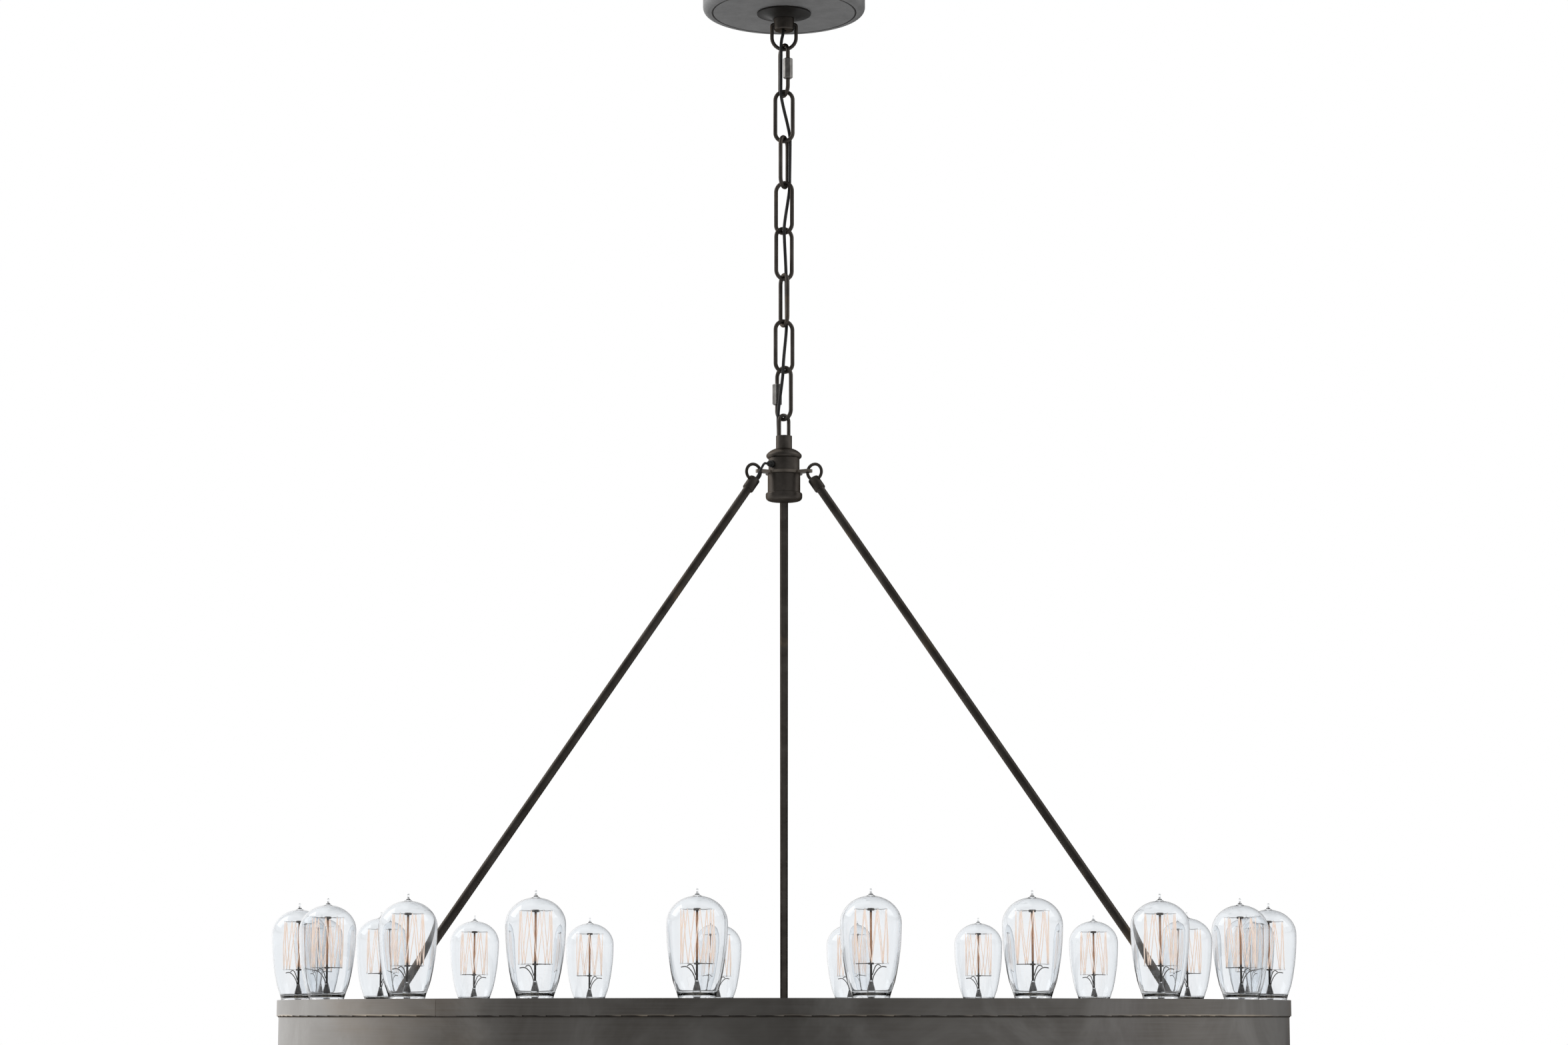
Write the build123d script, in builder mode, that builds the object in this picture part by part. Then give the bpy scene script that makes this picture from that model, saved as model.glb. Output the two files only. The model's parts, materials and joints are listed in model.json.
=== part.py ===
# Ring chandelier: a steel ring of standing lamps, hung on three rods from a chain and a ceiling canopy.
# Millimetres, +Z up, the origin on the ceiling at the canopy's centre, the front towards -Y.
import os
from math import acos, asin, atan2, cos, degrees, hypot, pi, radians, sin, sqrt, tan

from build123d import *

os.makedirs("parts", exist_ok=True)

# Ring
ring_outer_d = 1219.2
ring_height = 101.6
ring_width = 47.2
band_t = 2.0
collar_t = 2.0
collar_h = 18.0
collar_seam = 0.8
collar_seam_angle = 38.0
sheet_t = 1.5
deck_drop = 52.0
seat_gap = 0.3

# Lamps
lamp_count = 20
bulb_d = 65.0
bulb_widest_h = 78.0
bulb_dome_h = 107.0
bulb_tip_h = 114.6
bulb_flank_r = 262.0
bulb_shoulder_h = 12.5
bulb_shoulder_r = 13.0
bulb_shoulder_turn = 50.0
glass_t = 0.8
pip_r = 1.7
pip_root_r = 4.6
base_d = 26.0
base_h = 27.0
base_top_drop = 5.0
base_shoulder = 3.0
contact_d = 9.0
contact_h = 3.5
socket_d = 34.0
socket_play = 0.6
socket_rim_drop = 8.0
socket_stud_d = 10.0
socket_stud_h = 9.0
nut_flats = 14.0
nut_h = 3.0
stem_d = 9.0
stem_h = 19.0
centre_rod_d = 3.0
cage_r = 17.5
cage_top_h = 93.0
cage_foot_h = 36.0
cage_hub_d = 8.0
cage_hub_t = 2.4
cage_strands = 16
strand_d = 0.5
spoke_d = 0.7

# Canopy
canopy_d = 205.0
canopy_depth = 28.0
canopy_wall = 1.5
canopy_rim_r = 7.0
canopy_groove_d = 181.0
canopy_groove_w = 2.2
canopy_groove_t = 0.6
strap_length = 116.0
strap_width = 20.0
strap_t = 2.5
box_screw_spacing = 88.9
box_slot_length = 12.0
box_slot_w = 5.0
nipple_d = 10.0
nipple_bore_d = 6.4
nipple_gap = 0.1
locknut_flats = 16.0
locknut_t = 4.0
ground_screw_d = 4.0
ground_screw_head_d = 8.0
ground_screw_head_t = 2.5
ground_screw_x = 28.0
collar_disc_d = 68.0
collar_disc_rim = 2.0
collar_disc_h = 8.0
neck_d = 25.4
neck_h = 15.0

# Bail and chain
bail_wire = 4.6
bail_width = 35.0
bail_pivot_drop = 7.0
bail_pin_depth = 4.5
bail_shoulder_r = 2.4
bail_drop = 30.0
pivot_gap = 0.08
link_wire = 5.0
link_inner_w = 17.0
link_inner_h = 59.3
link_play = 0.3
link_turns = (-5.0, 67.0, -25.0, 28.0, -67.0, 17.0)
quick_wire = 5.0
quick_inner_w = 18.0
quick_inner_h = 60.3
quick_top_turn = -65.0
quick_bottom_turn = -42.0
quick_nut_flats = 10.6
quick_nut_h = 26.0
quick_gap = 6.5
quick_gap_above = 5.8
cable_d = 4.0

# Hub
hub_loop_wire = 4.5
hub_loop_inner_w = 10.7
hub_loop_h = 24.0
hub_loop_turn = 40.0
hub_neck_d = 20.0
hub_neck_h = 16.0
hub_cap_d = 44.0
hub_cap_cone_h = 6.5
hub_cap_rim_h = 6.0
hub_upper_d = 38.5
hub_upper_h = 16.2
eye_plate_d = 46.0
eye_plate_t = 3.5
eye_circle_r = 33.9
eye_hole_d = 6.6
eye_wall = 2.5
hub_lower_d = 40.5
hub_lower_h = 23.3
hub_flange_d = 45.5
hub_flange_h = 10.0
hub_wall = 2.0
hub_stem_d = 8.0
hub_stem_bore_d = 5.0
cable_hole_r = 6.9
splice_d = 8.0
splice_h = 9.0
outlet_up = 9.5
bush_d = 7.0
bush_lip_d = 9.0
bush_lip_t = 1.8
bush_nose_d = 6.8
bush_nose_h = 4.2
bush_nose_r = 1.2

# Rods
rod_d = 8.0
rod_bore_d = 5.0
rod_turns = (90.0, 210.0, 330.0)
rod_names = ("back", "left", "right")
feed_rod = "left"
ring_drop = 648.8
eye_wire = 3.8
eye_r = 9.8
eye_sink = 2.0
ferrule_d = 12.0
ferrule_h = 17.0
ferrule_start = 13.0
ferrule_bore_h = 12.0
lug_reach = 17.4
lug_drop = 42.0
lug_t = 3.5
lug_width = 17.0
lug_leg_h = 24.0
lug_hole_d = 7.0
lug_end_wall = 2.6
lug_rivet_d = 4.0
lug_rivet_head_d = 8.0
lug_rivet_head_t = 2.4
lug_rivet_tail_d = 6.5
lug_rivet_pitch = 9.0
lead_d = 3.0
lead_offset = 3.8
lead_gap = 0.2
grommet_d = 9.0
grommet_lip_d = 12.0
grommet_lip_t = 1.5
grommet_up = 9.0
grommet_across = 6.0
lead_entry = 2.0
lead_step = 4.0
lead_over_lug = 6.5

# Wiring and pan
harness_d = 6.0
socket_lead_d = 3.0
pan_post_d = 8.0
pan_post_count = 10
pan_screw_d = 4.0
pan_screw_head_d = 8.0
pan_screw_head_t = 2.2
pan_screw_grip = 12.0

# Levels, from the ceiling down
canopy_floor_z = -canopy_depth
neck_top_z = canopy_floor_z - collar_disc_h
neck_foot_z = neck_top_z - neck_h
bail_pivot_z = neck_top_z - bail_pivot_drop
bail_seat_z = bail_pivot_z - bail_drop
quick_top_z = bail_seat_z + link_play
chain_z = quick_top_z - quick_inner_h + link_play
link_pitch = link_inner_h - link_play
quick_bottom_z = chain_z - len(link_turns) * link_pitch
hub_top_z = quick_bottom_z - quick_inner_h + link_play
hub_neck_z = hub_top_z - hub_loop_h
hub_cap_z = hub_neck_z - hub_neck_h
hub_upper_z = hub_cap_z - hub_cap_cone_h - hub_cap_rim_h
plate_top_z = hub_upper_z - hub_upper_h
plate_z = plate_top_z - eye_plate_t / 2
hub_lower_z = plate_top_z - eye_plate_t
hub_flange_z = hub_lower_z - hub_lower_h
ring_top_z = plate_z - ring_drop
ring_foot_z = ring_top_z - ring_height
deck_z = ring_top_z - deck_drop
lug_z = ring_top_z - lug_drop

# Radii of the ring
ring_r = ring_outer_d / 2
band_outer_r = ring_r - collar_t - seat_gap
band_inner_r = band_outer_r - band_t
inner_face_r = ring_r - ring_width
inner_back_r = inner_face_r + band_t
lamp_circle_r = (band_inner_r + inner_back_r) / 2
deck_inner_r = inner_back_r + seat_gap
deck_outer_r = band_inner_r - seat_gap
lug_circle_r = inner_face_r - lug_reach
front_angle = -90.0
lamp_start = front_angle + 180.0 / lamp_count
bead_r = collar_t / 2

# Rod axis in the upright plane of one rod, from the ear's hole to the lug's hole
rod_run = lug_circle_r - eye_circle_r
rod_fall = plate_z - lug_z
rod_length = hypot(rod_run, rod_fall)
rod_tilt = degrees(atan2(rod_run, rod_fall))
eye_reach = sqrt(eye_r**2 - eye_sink**2)


def save(part, name):
    """Label a finished piece and write it under its own name."""
    part.label = name
    export_step(part, f"parts/{name}.step")


def upright(turn, origin=(0, 0, 0)):
    """An upright plane: its x runs level at the angle turn, its y runs up."""
    level = (cos(radians(turn)), sin(radians(turn)), 0)
    return Plane(origin, x_dir=level, z_dir=(level[1], -level[0], 0))


def at_angle(radius, turn, z):
    """A point at a radius and an angle about the ring's axis."""
    return (radius * cos(radians(turn)), radius * sin(radians(turn)), z)


def hoop(inner_r, outer_r, z_low, z_high):
    """A plain turned hoop about the ring's axis."""
    with BuildPart() as turned:
        with BuildSketch(Plane.XY.offset(z_low)):
            Circle(outer_r)
            Circle(inner_r, mode=Mode.SUBTRACT)
        extrude(amount=z_high - z_low)
    return turned.part


def around_lamps(unit):
    """One copy of a piece made on the ring's axis at each lamp's place."""
    places = PolarLocations(lamp_circle_r, lamp_count, start_angle=lamp_start)
    return Compound([unit.moved(place) for place in places])


def run_length(route):
    """The length of a drawn route."""
    return sum(edge.length for edge in route.edges())


def cord(points, diameter, widest_bend):
    """A round cord along straight runs joined by tangent arcs; prints the arcs' radii."""
    bends = []
    for before, here, after in zip(points, points[1:], points[2:]):
        first = Vector(*here) - Vector(*before)
        second = Vector(*after) - Vector(*here)
        half = radians(first.get_angle(second)) / 2
        bends.append(min(widest_bend, 0.45 * min(first.length, second.length) / tan(half)))
    print("bends", [round(bend, 1) for bend in bends])
    with BuildPart() as run:
        with BuildLine() as route:
            FilletPolyline(*points, radius=bends)
        with BuildSketch(Plane(route.line @ 0, z_dir=route.line % 0)):
            Circle(diameter / 2)
        sweep(path=route.line)
    section = pi * diameter**2 / 4
    print("cord volume over section times length", run.part.volume / section / run_length(route))
    return run.part


# Mounting strap against the ceiling box, with a slot at each end for the box screws
with BuildPart() as mounting_strap:
    with BuildSketch(Plane.XY.offset(-strap_t)):
        RectangleRounded(strap_length, strap_width, strap_width / 4)
        Circle(nipple_d / 2 + nipple_gap, mode=Mode.SUBTRACT)
        with Locations((-box_screw_spacing / 2, 0), (box_screw_spacing / 2, 0)):
            SlotOverall(box_slot_length, box_slot_w, mode=Mode.SUBTRACT)
        with Locations((ground_screw_x, 0)):
            Circle(ground_screw_d / 2 + nipple_gap, mode=Mode.SUBTRACT)
    extrude(amount=strap_t)
save(mounting_strap.part, "mounting_strap")

# Ground screw, its head under the strap
with BuildPart() as ground_screw:
    with BuildSketch(Plane.XY.offset(-strap_t - ground_screw_head_t)):
        with Locations((ground_screw_x, 0)):
            Circle(ground_screw_head_d / 2)
    extrude(amount=ground_screw_head_t)
    fillet(ground_screw.edges().group_by(Axis.Z)[0], ground_screw_head_t / 3)
    with BuildSketch(Plane.XY.offset(-strap_t)):
        with Locations((ground_screw_x, 0)):
            Circle(ground_screw_d / 2)
    extrude(amount=strap_t)
save(ground_screw.part, "ground_screw")

# Threaded nipple: the hollow stud that carries everything below
nipple_top_z = -strap_t / 2
nipple_foot_z = neck_foot_z + link_wire
with BuildPart() as threaded_nipple:
    with BuildSketch(Plane.XY.offset(nipple_foot_z)):
        Circle(nipple_d / 2)
        Circle(nipple_bore_d / 2, mode=Mode.SUBTRACT)
    extrude(amount=nipple_top_z - nipple_foot_z)
save(threaded_nipple.part, "threaded_nipple")

# Lock nuts: one under the strap, one on the canopy's floor
with BuildPart() as canopy_locknuts:
    for low_z in (-strap_t - locknut_t, canopy_floor_z + canopy_wall):
        with BuildSketch(Plane.XY.offset(low_z)):
            RegularPolygon(locknut_flats / 2, 6, major_radius=False)
            Circle(nipple_d / 2 + nipple_gap, mode=Mode.SUBTRACT)
        extrude(amount=locknut_t)
save(canopy_locknuts.part, "canopy_locknuts")

# Canopy: a spun dish, open to the ceiling, with a pressed groove near its rim
with BuildPart() as canopy:
    with BuildSketch(Plane.XY.offset(canopy_floor_z)):
        Circle(canopy_d / 2)
    extrude(amount=canopy_depth)
    fillet(canopy.edges().group_by(Axis.Z)[0], canopy_rim_r)
    offset(amount=-canopy_wall, openings=canopy.faces().sort_by(Axis.Z)[-1])
    with BuildSketch(Plane.XY.offset(canopy_floor_z)):
        Circle(canopy_groove_d / 2 + canopy_groove_w / 2)
        Circle(canopy_groove_d / 2 - canopy_groove_w / 2, mode=Mode.SUBTRACT)
    extrude(amount=canopy_groove_t, mode=Mode.SUBTRACT)
    Hole(nipple_d / 2 + nipple_gap)
save(canopy.part, "canopy")

# Canopy collar: the flared disc screwed up under the canopy
with BuildPart() as canopy_collar:
    with BuildSketch(Plane.XZ) as collar_half:
        with BuildLine():
            rim_low = (collar_disc_d / 2, canopy_floor_z - collar_disc_rim)
            throat = (neck_d / 2 + band_t, neck_top_z)
            Polyline(
                rim_low,
                (collar_disc_d / 2, canopy_floor_z),
                (nipple_d / 2 + nipple_gap, canopy_floor_z),
                (nipple_d / 2 + nipple_gap, neck_top_z),
                throat,
            )
            RadiusArc(throat, rim_low, collar_disc_d / 2)
        make_face()
    revolve(axis=Axis.Z)
save(canopy_collar.part, "canopy_collar")

# Canopy neck: a turned boss on the nipple, bored for the cable and cross-drilled for the bail's ends
bail_pin_hole_r = bail_wire / 2 + pivot_gap
bail_pin_inner_r = neck_d / 2 - bail_pin_depth
with BuildPart() as canopy_neck:
    with BuildSketch(Plane.XY.offset(neck_foot_z)):
        Circle(neck_d / 2)
        Circle(nipple_bore_d / 2, mode=Mode.SUBTRACT)
    extrude(amount=neck_h)
    fillet(canopy_neck.edges().group_by(Axis.Z)[0].sort_by(SortBy.RADIUS)[-1], band_t)
    with BuildSketch(Plane.XY.offset(neck_top_z)):
        Circle(nipple_d / 2 + nipple_gap)
    extrude(amount=nipple_foot_z - neck_top_z, mode=Mode.SUBTRACT)
    for side in (-1, 1):
        pin_end = Plane((side * (bail_pin_inner_r - link_play), 0, bail_pivot_z), z_dir=(side, 0, 0))
        with BuildSketch(pin_end):
            Circle(bail_pin_hole_r)
        extrude(amount=neck_d, mode=Mode.SUBTRACT)
save(canopy_neck.part, "canopy_neck")

# Bail: a bent wire whose turned-in ends pivot in the neck
bail_bend_r = (bail_width - bail_wire) / 2
bail_bend_z = bail_seat_z - bail_wire / 2 + bail_bend_r
with BuildPart() as canopy_bail:
    with BuildLine(upright(0)) as bail_line:
        FilletPolyline(
            (bail_pin_inner_r, bail_pivot_z),
            (bail_bend_r, bail_pivot_z),
            (bail_bend_r, bail_bend_z),
            radius=bail_shoulder_r,
        )
        ThreePointArc(
            (bail_bend_r, bail_bend_z),
            (0, bail_bend_z - bail_bend_r),
            (-bail_bend_r, bail_bend_z),
        )
        FilletPolyline(
            (-bail_bend_r, bail_bend_z),
            (-bail_bend_r, bail_pivot_z),
            (-bail_pin_inner_r, bail_pivot_z),
            radius=bail_shoulder_r,
        )
    with BuildSketch(Plane(bail_line.line @ 0, z_dir=bail_line.line % 0)):
        Circle(bail_wire / 2)
    sweep(path=bail_line.line)
save(canopy_bail.part, "canopy_bail")


def chain_link(top_z, turn):
    """A welded oval link whose inside hangs from top_z."""
    bend = (link_inner_w + link_wire) / 2
    high = top_z - link_inner_w / 2
    low = top_z - link_inner_h + link_inner_w / 2
    with BuildPart() as link:
        with BuildLine(upright(turn)) as oval:
            Line((bend, low), (bend, high))
            ThreePointArc((bend, high), (0, high + bend), (-bend, high))
            Line((-bend, high), (-bend, low))
            ThreePointArc((-bend, low), (0, low - bend), (bend, low))
        with BuildSketch(Plane(oval.line @ 0, z_dir=oval.line % 0)):
            Circle(link_wire / 2)
        sweep(path=oval.line)
    return link.part


def quick_link(top_z, turn, side):
    """The open wire of a quick link; its gap lies in the limb on the given side."""
    bend = (quick_inner_w + quick_wire) / 2
    high = top_z - quick_inner_w / 2
    low = top_z - quick_inner_h + quick_inner_w / 2
    gap_low = (high + low) / 2 + quick_gap_above
    with BuildPart() as link:
        with BuildLine(upright(turn)) as oval:
            Line((side * bend, gap_low + quick_gap), (side * bend, high))
            ThreePointArc((side * bend, high), (0, high + bend), (-side * bend, high))
            Line((-side * bend, high), (-side * bend, low))
            ThreePointArc((-side * bend, low), (0, low - bend), (side * bend, low))
            Line((side * bend, low), (side * bend, gap_low))
        with BuildSketch(Plane(oval.line @ 0, z_dir=oval.line % 0)):
            Circle(quick_wire / 2)
        sweep(path=oval.line)
    return link.part


def quick_nut(top_z, turn, side):
    """The long hexagon nut that closes a quick link's gap."""
    bend = (quick_inner_w + quick_wire) / 2
    low = top_z - quick_inner_h / 2 - quick_nut_h / 2
    with BuildPart() as nut:
        with BuildSketch(Plane(at_angle(side * bend, turn, low), x_dir=at_angle(1, turn, 0))):
            RegularPolygon(quick_nut_flats / 2, 6, major_radius=False)
        extrude(amount=quick_nut_h)
        chamfer(nut.edges().group_by(Axis.Z)[0] + nut.edges().group_by(Axis.Z)[-1], quick_nut_flats / 12)
        with BuildSketch(Plane(at_angle(side * bend, turn, low))):
            Circle(quick_wire / 2 + pivot_gap)
        extrude(amount=quick_nut_h, mode=Mode.SUBTRACT)
    return nut.part


# Chain: a quick link at each end and oval links between, each turned as it hangs
save(quick_link(quick_top_z, quick_top_turn, 1), "quick_link_top")
save(quick_nut(quick_top_z, quick_top_turn, 1), "quick_link_top_nut")
for number, link_turn in enumerate(link_turns):
    save(chain_link(chain_z - number * link_pitch, link_turn), f"chain_link_{number + 1}")
save(quick_link(quick_bottom_z, quick_bottom_turn, -1), "quick_link_bottom")
save(quick_nut(quick_bottom_z, quick_bottom_turn, -1), "quick_link_bottom_nut")

# Supply cable: down the nipple, beside each crossing of the links, into the hub's neck
crossing_turns = (237.5, 235.0, 31.0, 21.0, 271.5, 70.5, 65.0, 262.0, 181.5)
crossing_radii = (6.8, 6.8, 9.0, 7.6, 7.6, 7.8, 7.4, 7.4, 7.4)
crossing_half = 7.0
crossing_levels = [bail_seat_z]
crossing_levels += [chain_z - number * link_pitch for number in range(len(link_turns) + 1)]
crossing_levels += [hub_top_z]
cable_end_z = plate_top_z + splice_h
cable_points = [(0, 0, nipple_top_z), (0, 0, neck_foot_z)]
for radius, turn, level in zip(crossing_radii, crossing_turns, crossing_levels):
    cable_points.append(at_angle(radius, turn, level + crossing_half))
    cable_points.append(at_angle(radius, turn, level - crossing_half))
cable_points.append((-cable_hole_r, 0, hub_neck_z + link_wire))
cable_points.append((-cable_hole_r, 0, cable_end_z))
save(cord(cable_points, cable_d, 15 * cable_d), "supply_cable")

# Hub loop: a cast neck with a wire loop, drilled for the cable beside the stem
hub_bend_r = (hub_loop_inner_w + hub_loop_wire) / 2
hub_bend_z = hub_top_z - hub_loop_inner_w / 2
with BuildPart() as hub_loop:
    with BuildLine(upright(hub_loop_turn)) as hub_line:
        Line((hub_bend_r, hub_neck_z - hub_loop_wire), (hub_bend_r, hub_bend_z))
        ThreePointArc((hub_bend_r, hub_bend_z), (0, hub_bend_z + hub_bend_r), (-hub_bend_r, hub_bend_z))
        Line((-hub_bend_r, hub_bend_z), (-hub_bend_r, hub_neck_z - hub_loop_wire))
    with BuildSketch(Plane(hub_line.line @ 0, z_dir=hub_line.line % 0)):
        Circle(hub_loop_wire / 2)
    sweep(path=hub_line.line)
    with BuildSketch(Plane.XY.offset(hub_cap_z)):
        Circle(hub_neck_d / 2)
    extrude(amount=hub_neck_h)
    with BuildSketch(Plane.XY.offset(hub_cap_z)):
        with Locations((-cable_hole_r, 0)):
            Circle(cable_d / 2 + lead_gap)
    extrude(amount=hub_neck_h + hub_loop_h, mode=Mode.SUBTRACT)
    with BuildSketch(Plane.XY.offset(hub_cap_z)):
        Circle(hub_stem_d / 2 + nipple_gap)
    extrude(amount=hub_neck_h / 2, mode=Mode.SUBTRACT)
save(hub_loop.part, "hub_loop")

# Hub cap: a trumpet that flares from the neck to a rounded rim, hollow below
with BuildPart() as hub_cap:
    with BuildSketch(Plane.XZ):
        with BuildLine():
            cap_throat = (hub_neck_d / 2, hub_cap_z)
            cap_edge = (hub_cap_d / 2 - hub_wall / 2, hub_cap_z - hub_cap_cone_h)
            cap_foot = (hub_upper_d / 2, hub_upper_z)
            RadiusArc(cap_throat, cap_edge, hub_cap_d / 2)
            ThreePointArc(cap_edge, (hub_cap_d / 2, hub_cap_z - hub_cap_cone_h - hub_wall), cap_foot)
            Polyline(
                cap_foot,
                (hub_upper_d / 2 - hub_wall, hub_upper_z),
                (hub_upper_d / 2 - hub_wall, hub_cap_z - hub_cap_cone_h),
                (cable_hole_r + cable_d, hub_cap_z - hub_wall),
                (hub_stem_d / 2 + nipple_gap, hub_cap_z - hub_wall),
                (hub_stem_d / 2 + nipple_gap, hub_cap_z),
                cap_throat,
            )
        make_face()
    revolve(axis=Axis.Z)
    with BuildSketch(Plane.XY.offset(hub_cap_z - hub_cap_cone_h)):
        with Locations((-cable_hole_r, 0)):
            Circle(cable_d / 2 + lead_gap)
    extrude(amount=hub_cap_cone_h, mode=Mode.SUBTRACT)
save(hub_cap.part, "hub_cap")

# Route of the short lead, in the feed rod's upright plane: outward, up from the plate, across the rod
feed_turn = rod_turns[rod_names.index(feed_rod)]
rod_lean = (sin(radians(rod_tilt)), -cos(radians(rod_tilt)))
ferrule_seat = (eye_circle_r + ferrule_start * rod_lean[0], ferrule_start * rod_lean[1])


def beside_rod(out, up, across, z):
    """A point beside the feed rod: out from the axis, up from the level z, across towards the front."""
    plane = upright(feed_turn)
    return tuple(plane.from_local_coords(Vector(out, up + z, -across)))


def past(seat, reach):
    """A place in a rod's plane, a short way down the rod from a ferrule's end."""
    return tuple(at + reach * lean for at, lean in zip(seat, rod_lean))


# Hub upper body: a short tube with the hole for the lead's bush in its wall
outlet_origin = beside_rod(0, outlet_up, lead_offset, plate_z)
outlet_plane = Plane(outlet_origin, z_dir=at_angle(1, feed_turn, 0))
with BuildPart() as hub_upper_body:
    with BuildSketch(Plane.XY.offset(plate_top_z)):
        Circle(hub_upper_d / 2)
        Circle(hub_upper_d / 2 - hub_wall, mode=Mode.SUBTRACT)
    extrude(amount=hub_upper_h)
    with BuildSketch(outlet_plane):
        Circle(bush_d / 2 + nipple_gap)
    extrude(amount=hub_upper_d, mode=Mode.SUBTRACT)
save(hub_upper_body.part, "hub_upper_body")

# Lead bush: a moulded sleeve in the upper body's wall, with a lip and a rounded nose outside
bush_start = hub_upper_d / 2 - 2 * hub_wall
bush_lip_start = hub_upper_d / 2 + nipple_gap
bush_end = bush_lip_start + bush_lip_t + bush_nose_h
with BuildPart() as lead_bush:
    with BuildSketch(outlet_plane.offset(bush_start)):
        Circle(bush_d / 2)
    extrude(amount=bush_lip_start - bush_start)
    with BuildSketch(outlet_plane.offset(bush_lip_start)):
        Circle(bush_lip_d / 2)
    extrude(amount=bush_lip_t)
    with BuildSketch(outlet_plane.offset(bush_lip_start + bush_lip_t)):
        Circle(bush_nose_d / 2)
    extrude(amount=bush_nose_h)
    nose_rim = lead_bush.edges().filter_by(GeomType.CIRCLE).sort_by(outlet_plane.location.z_axis)[-1]
    fillet(nose_rim, bush_nose_r)
    with BuildSketch(outlet_plane.offset(bush_start)):
        Circle(lead_d / 2 + lead_gap)
    extrude(amount=bush_end - bush_start, mode=Mode.SUBTRACT)
save(lead_bush.part, "lead_bush")

# Eye plate: a disc with three drilled ears
eye_ear_r = eye_hole_d / 2 + eye_wall
with BuildPart() as eye_plate:
    with BuildSketch(Plane.XY.offset(hub_lower_z)):
        Circle(eye_plate_d / 2)
        with PolarLocations(eye_circle_r, len(rod_turns), start_angle=rod_turns[0]):
            Circle(eye_ear_r)
        with PolarLocations(eye_circle_r / 2, len(rod_turns), start_angle=rod_turns[0]):
            Rectangle(eye_circle_r, 2 * eye_ear_r)
        with PolarLocations(eye_circle_r, len(rod_turns), start_angle=rod_turns[0]):
            Circle(eye_hole_d / 2, mode=Mode.SUBTRACT)
        Circle(hub_stem_d / 2 + nipple_gap, mode=Mode.SUBTRACT)
    extrude(amount=eye_plate_t)
save(eye_plate.part, "eye_plate")

# Hub lower body: a tube under the plate
save(hoop(hub_lower_d / 2 - hub_wall, hub_lower_d / 2, hub_flange_z, hub_lower_z), "hub_lower_body")

# Hub bottom cap: a flange with a rounded rim, screwed on the stem
with BuildPart() as hub_bottom_cap:
    with BuildSketch(Plane.XY.offset(hub_flange_z - hub_flange_h)):
        Circle(hub_flange_d / 2)
    extrude(amount=hub_flange_h)
    fillet(hub_bottom_cap.edges().group_by(Axis.Z)[0], hub_flange_h * 0.5)
    fillet(hub_bottom_cap.edges().group_by(Axis.Z)[-1], hub_wall)
    with BuildSketch(Plane.XY.offset(hub_flange_z)):
        Circle(hub_stem_d / 2 + nipple_gap)
    extrude(amount=-hub_flange_h / 2, mode=Mode.SUBTRACT)
save(hub_bottom_cap.part, "hub_bottom_cap")

# Hub stem: the hollow stud that clamps the hub's stack
stem_high_z = hub_cap_z + hub_neck_h / 2 - seat_gap
stem_low_z = hub_flange_z - hub_flange_h / 2 + seat_gap
save(hoop(hub_stem_bore_d / 2, hub_stem_d / 2, stem_low_z, stem_high_z), "hub_stem")

# Splice cap: joins the cable to the lead, standing on the plate
with BuildPart() as splice_cap:
    with BuildSketch(Plane.XY.offset(plate_top_z)):
        with Locations((-hub_stem_d / 2 - nipple_gap - splice_d / 2, 0)):
            Circle(splice_d / 2)
    extrude(amount=splice_h)
save(splice_cap.part, "splice_cap")

# Hub lead: out of the bush, round the ear and into the feed rod's ferrule
lead_points = [
    beside_rod(bush_start - hub_wall, outlet_up, lead_offset, plate_z),
    beside_rod(bush_end + lead_d, outlet_up, lead_offset, plate_z),
    beside_rod(eye_circle_r - lead_d / 2, outlet_up - lead_d / 4, 2 * lead_offset, plate_z),
    beside_rod(eye_circle_r + lead_d, outlet_up / 3, 2.4 * lead_offset, plate_z),
    beside_rod(*past(ferrule_seat, -lead_step), lead_offset, plate_z),
    beside_rod(*past(ferrule_seat, lead_entry), lead_offset, plate_z),
]
save(cord(lead_points, lead_d, 4 * lead_d), "hub_lead")


def rod_plane(turn, lower):
    """The upright plane of a rod, its origin in the ear's hole or, turned about, in the lug's hole."""
    if lower:
        plane = upright(turn, at_angle(lug_circle_r, turn, lug_z))
        return Plane(plane.origin, x_dir=-plane.x_dir, z_dir=plane.z_dir)
    return upright(turn, at_angle(eye_circle_r, turn, plate_z))


def rod_eye(turn, lower, feeds):
    """A ferrule with a wire loop that hangs in a hole at the plane's origin."""
    plane = rod_plane(turn, lower)
    lean = plane.from_local_coords(Vector(*rod_lean, 0)) - plane.origin
    start = plane.origin + lean * ferrule_start
    with BuildPart(plane) as eye:
        with Locations((eye_reach, -eye_sink)):
            Torus(eye_r, eye_wire / 2)
        with BuildSketch(Plane(start, z_dir=lean)):
            Circle(ferrule_d / 2)
        extrude(amount=ferrule_h)
        with BuildSketch(Plane(start + lean * ferrule_h, z_dir=-lean)):
            Circle(rod_d / 2 + nipple_gap)
        extrude(amount=ferrule_bore_h, mode=Mode.SUBTRACT)
        if feeds:
            with BuildSketch(Plane(start - plane.z_dir * lead_offset, z_dir=lean)):
                Circle(lead_d / 2 + lead_gap)
            extrude(amount=ferrule_h - ferrule_bore_h, mode=Mode.SUBTRACT)
    return eye.part


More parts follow.
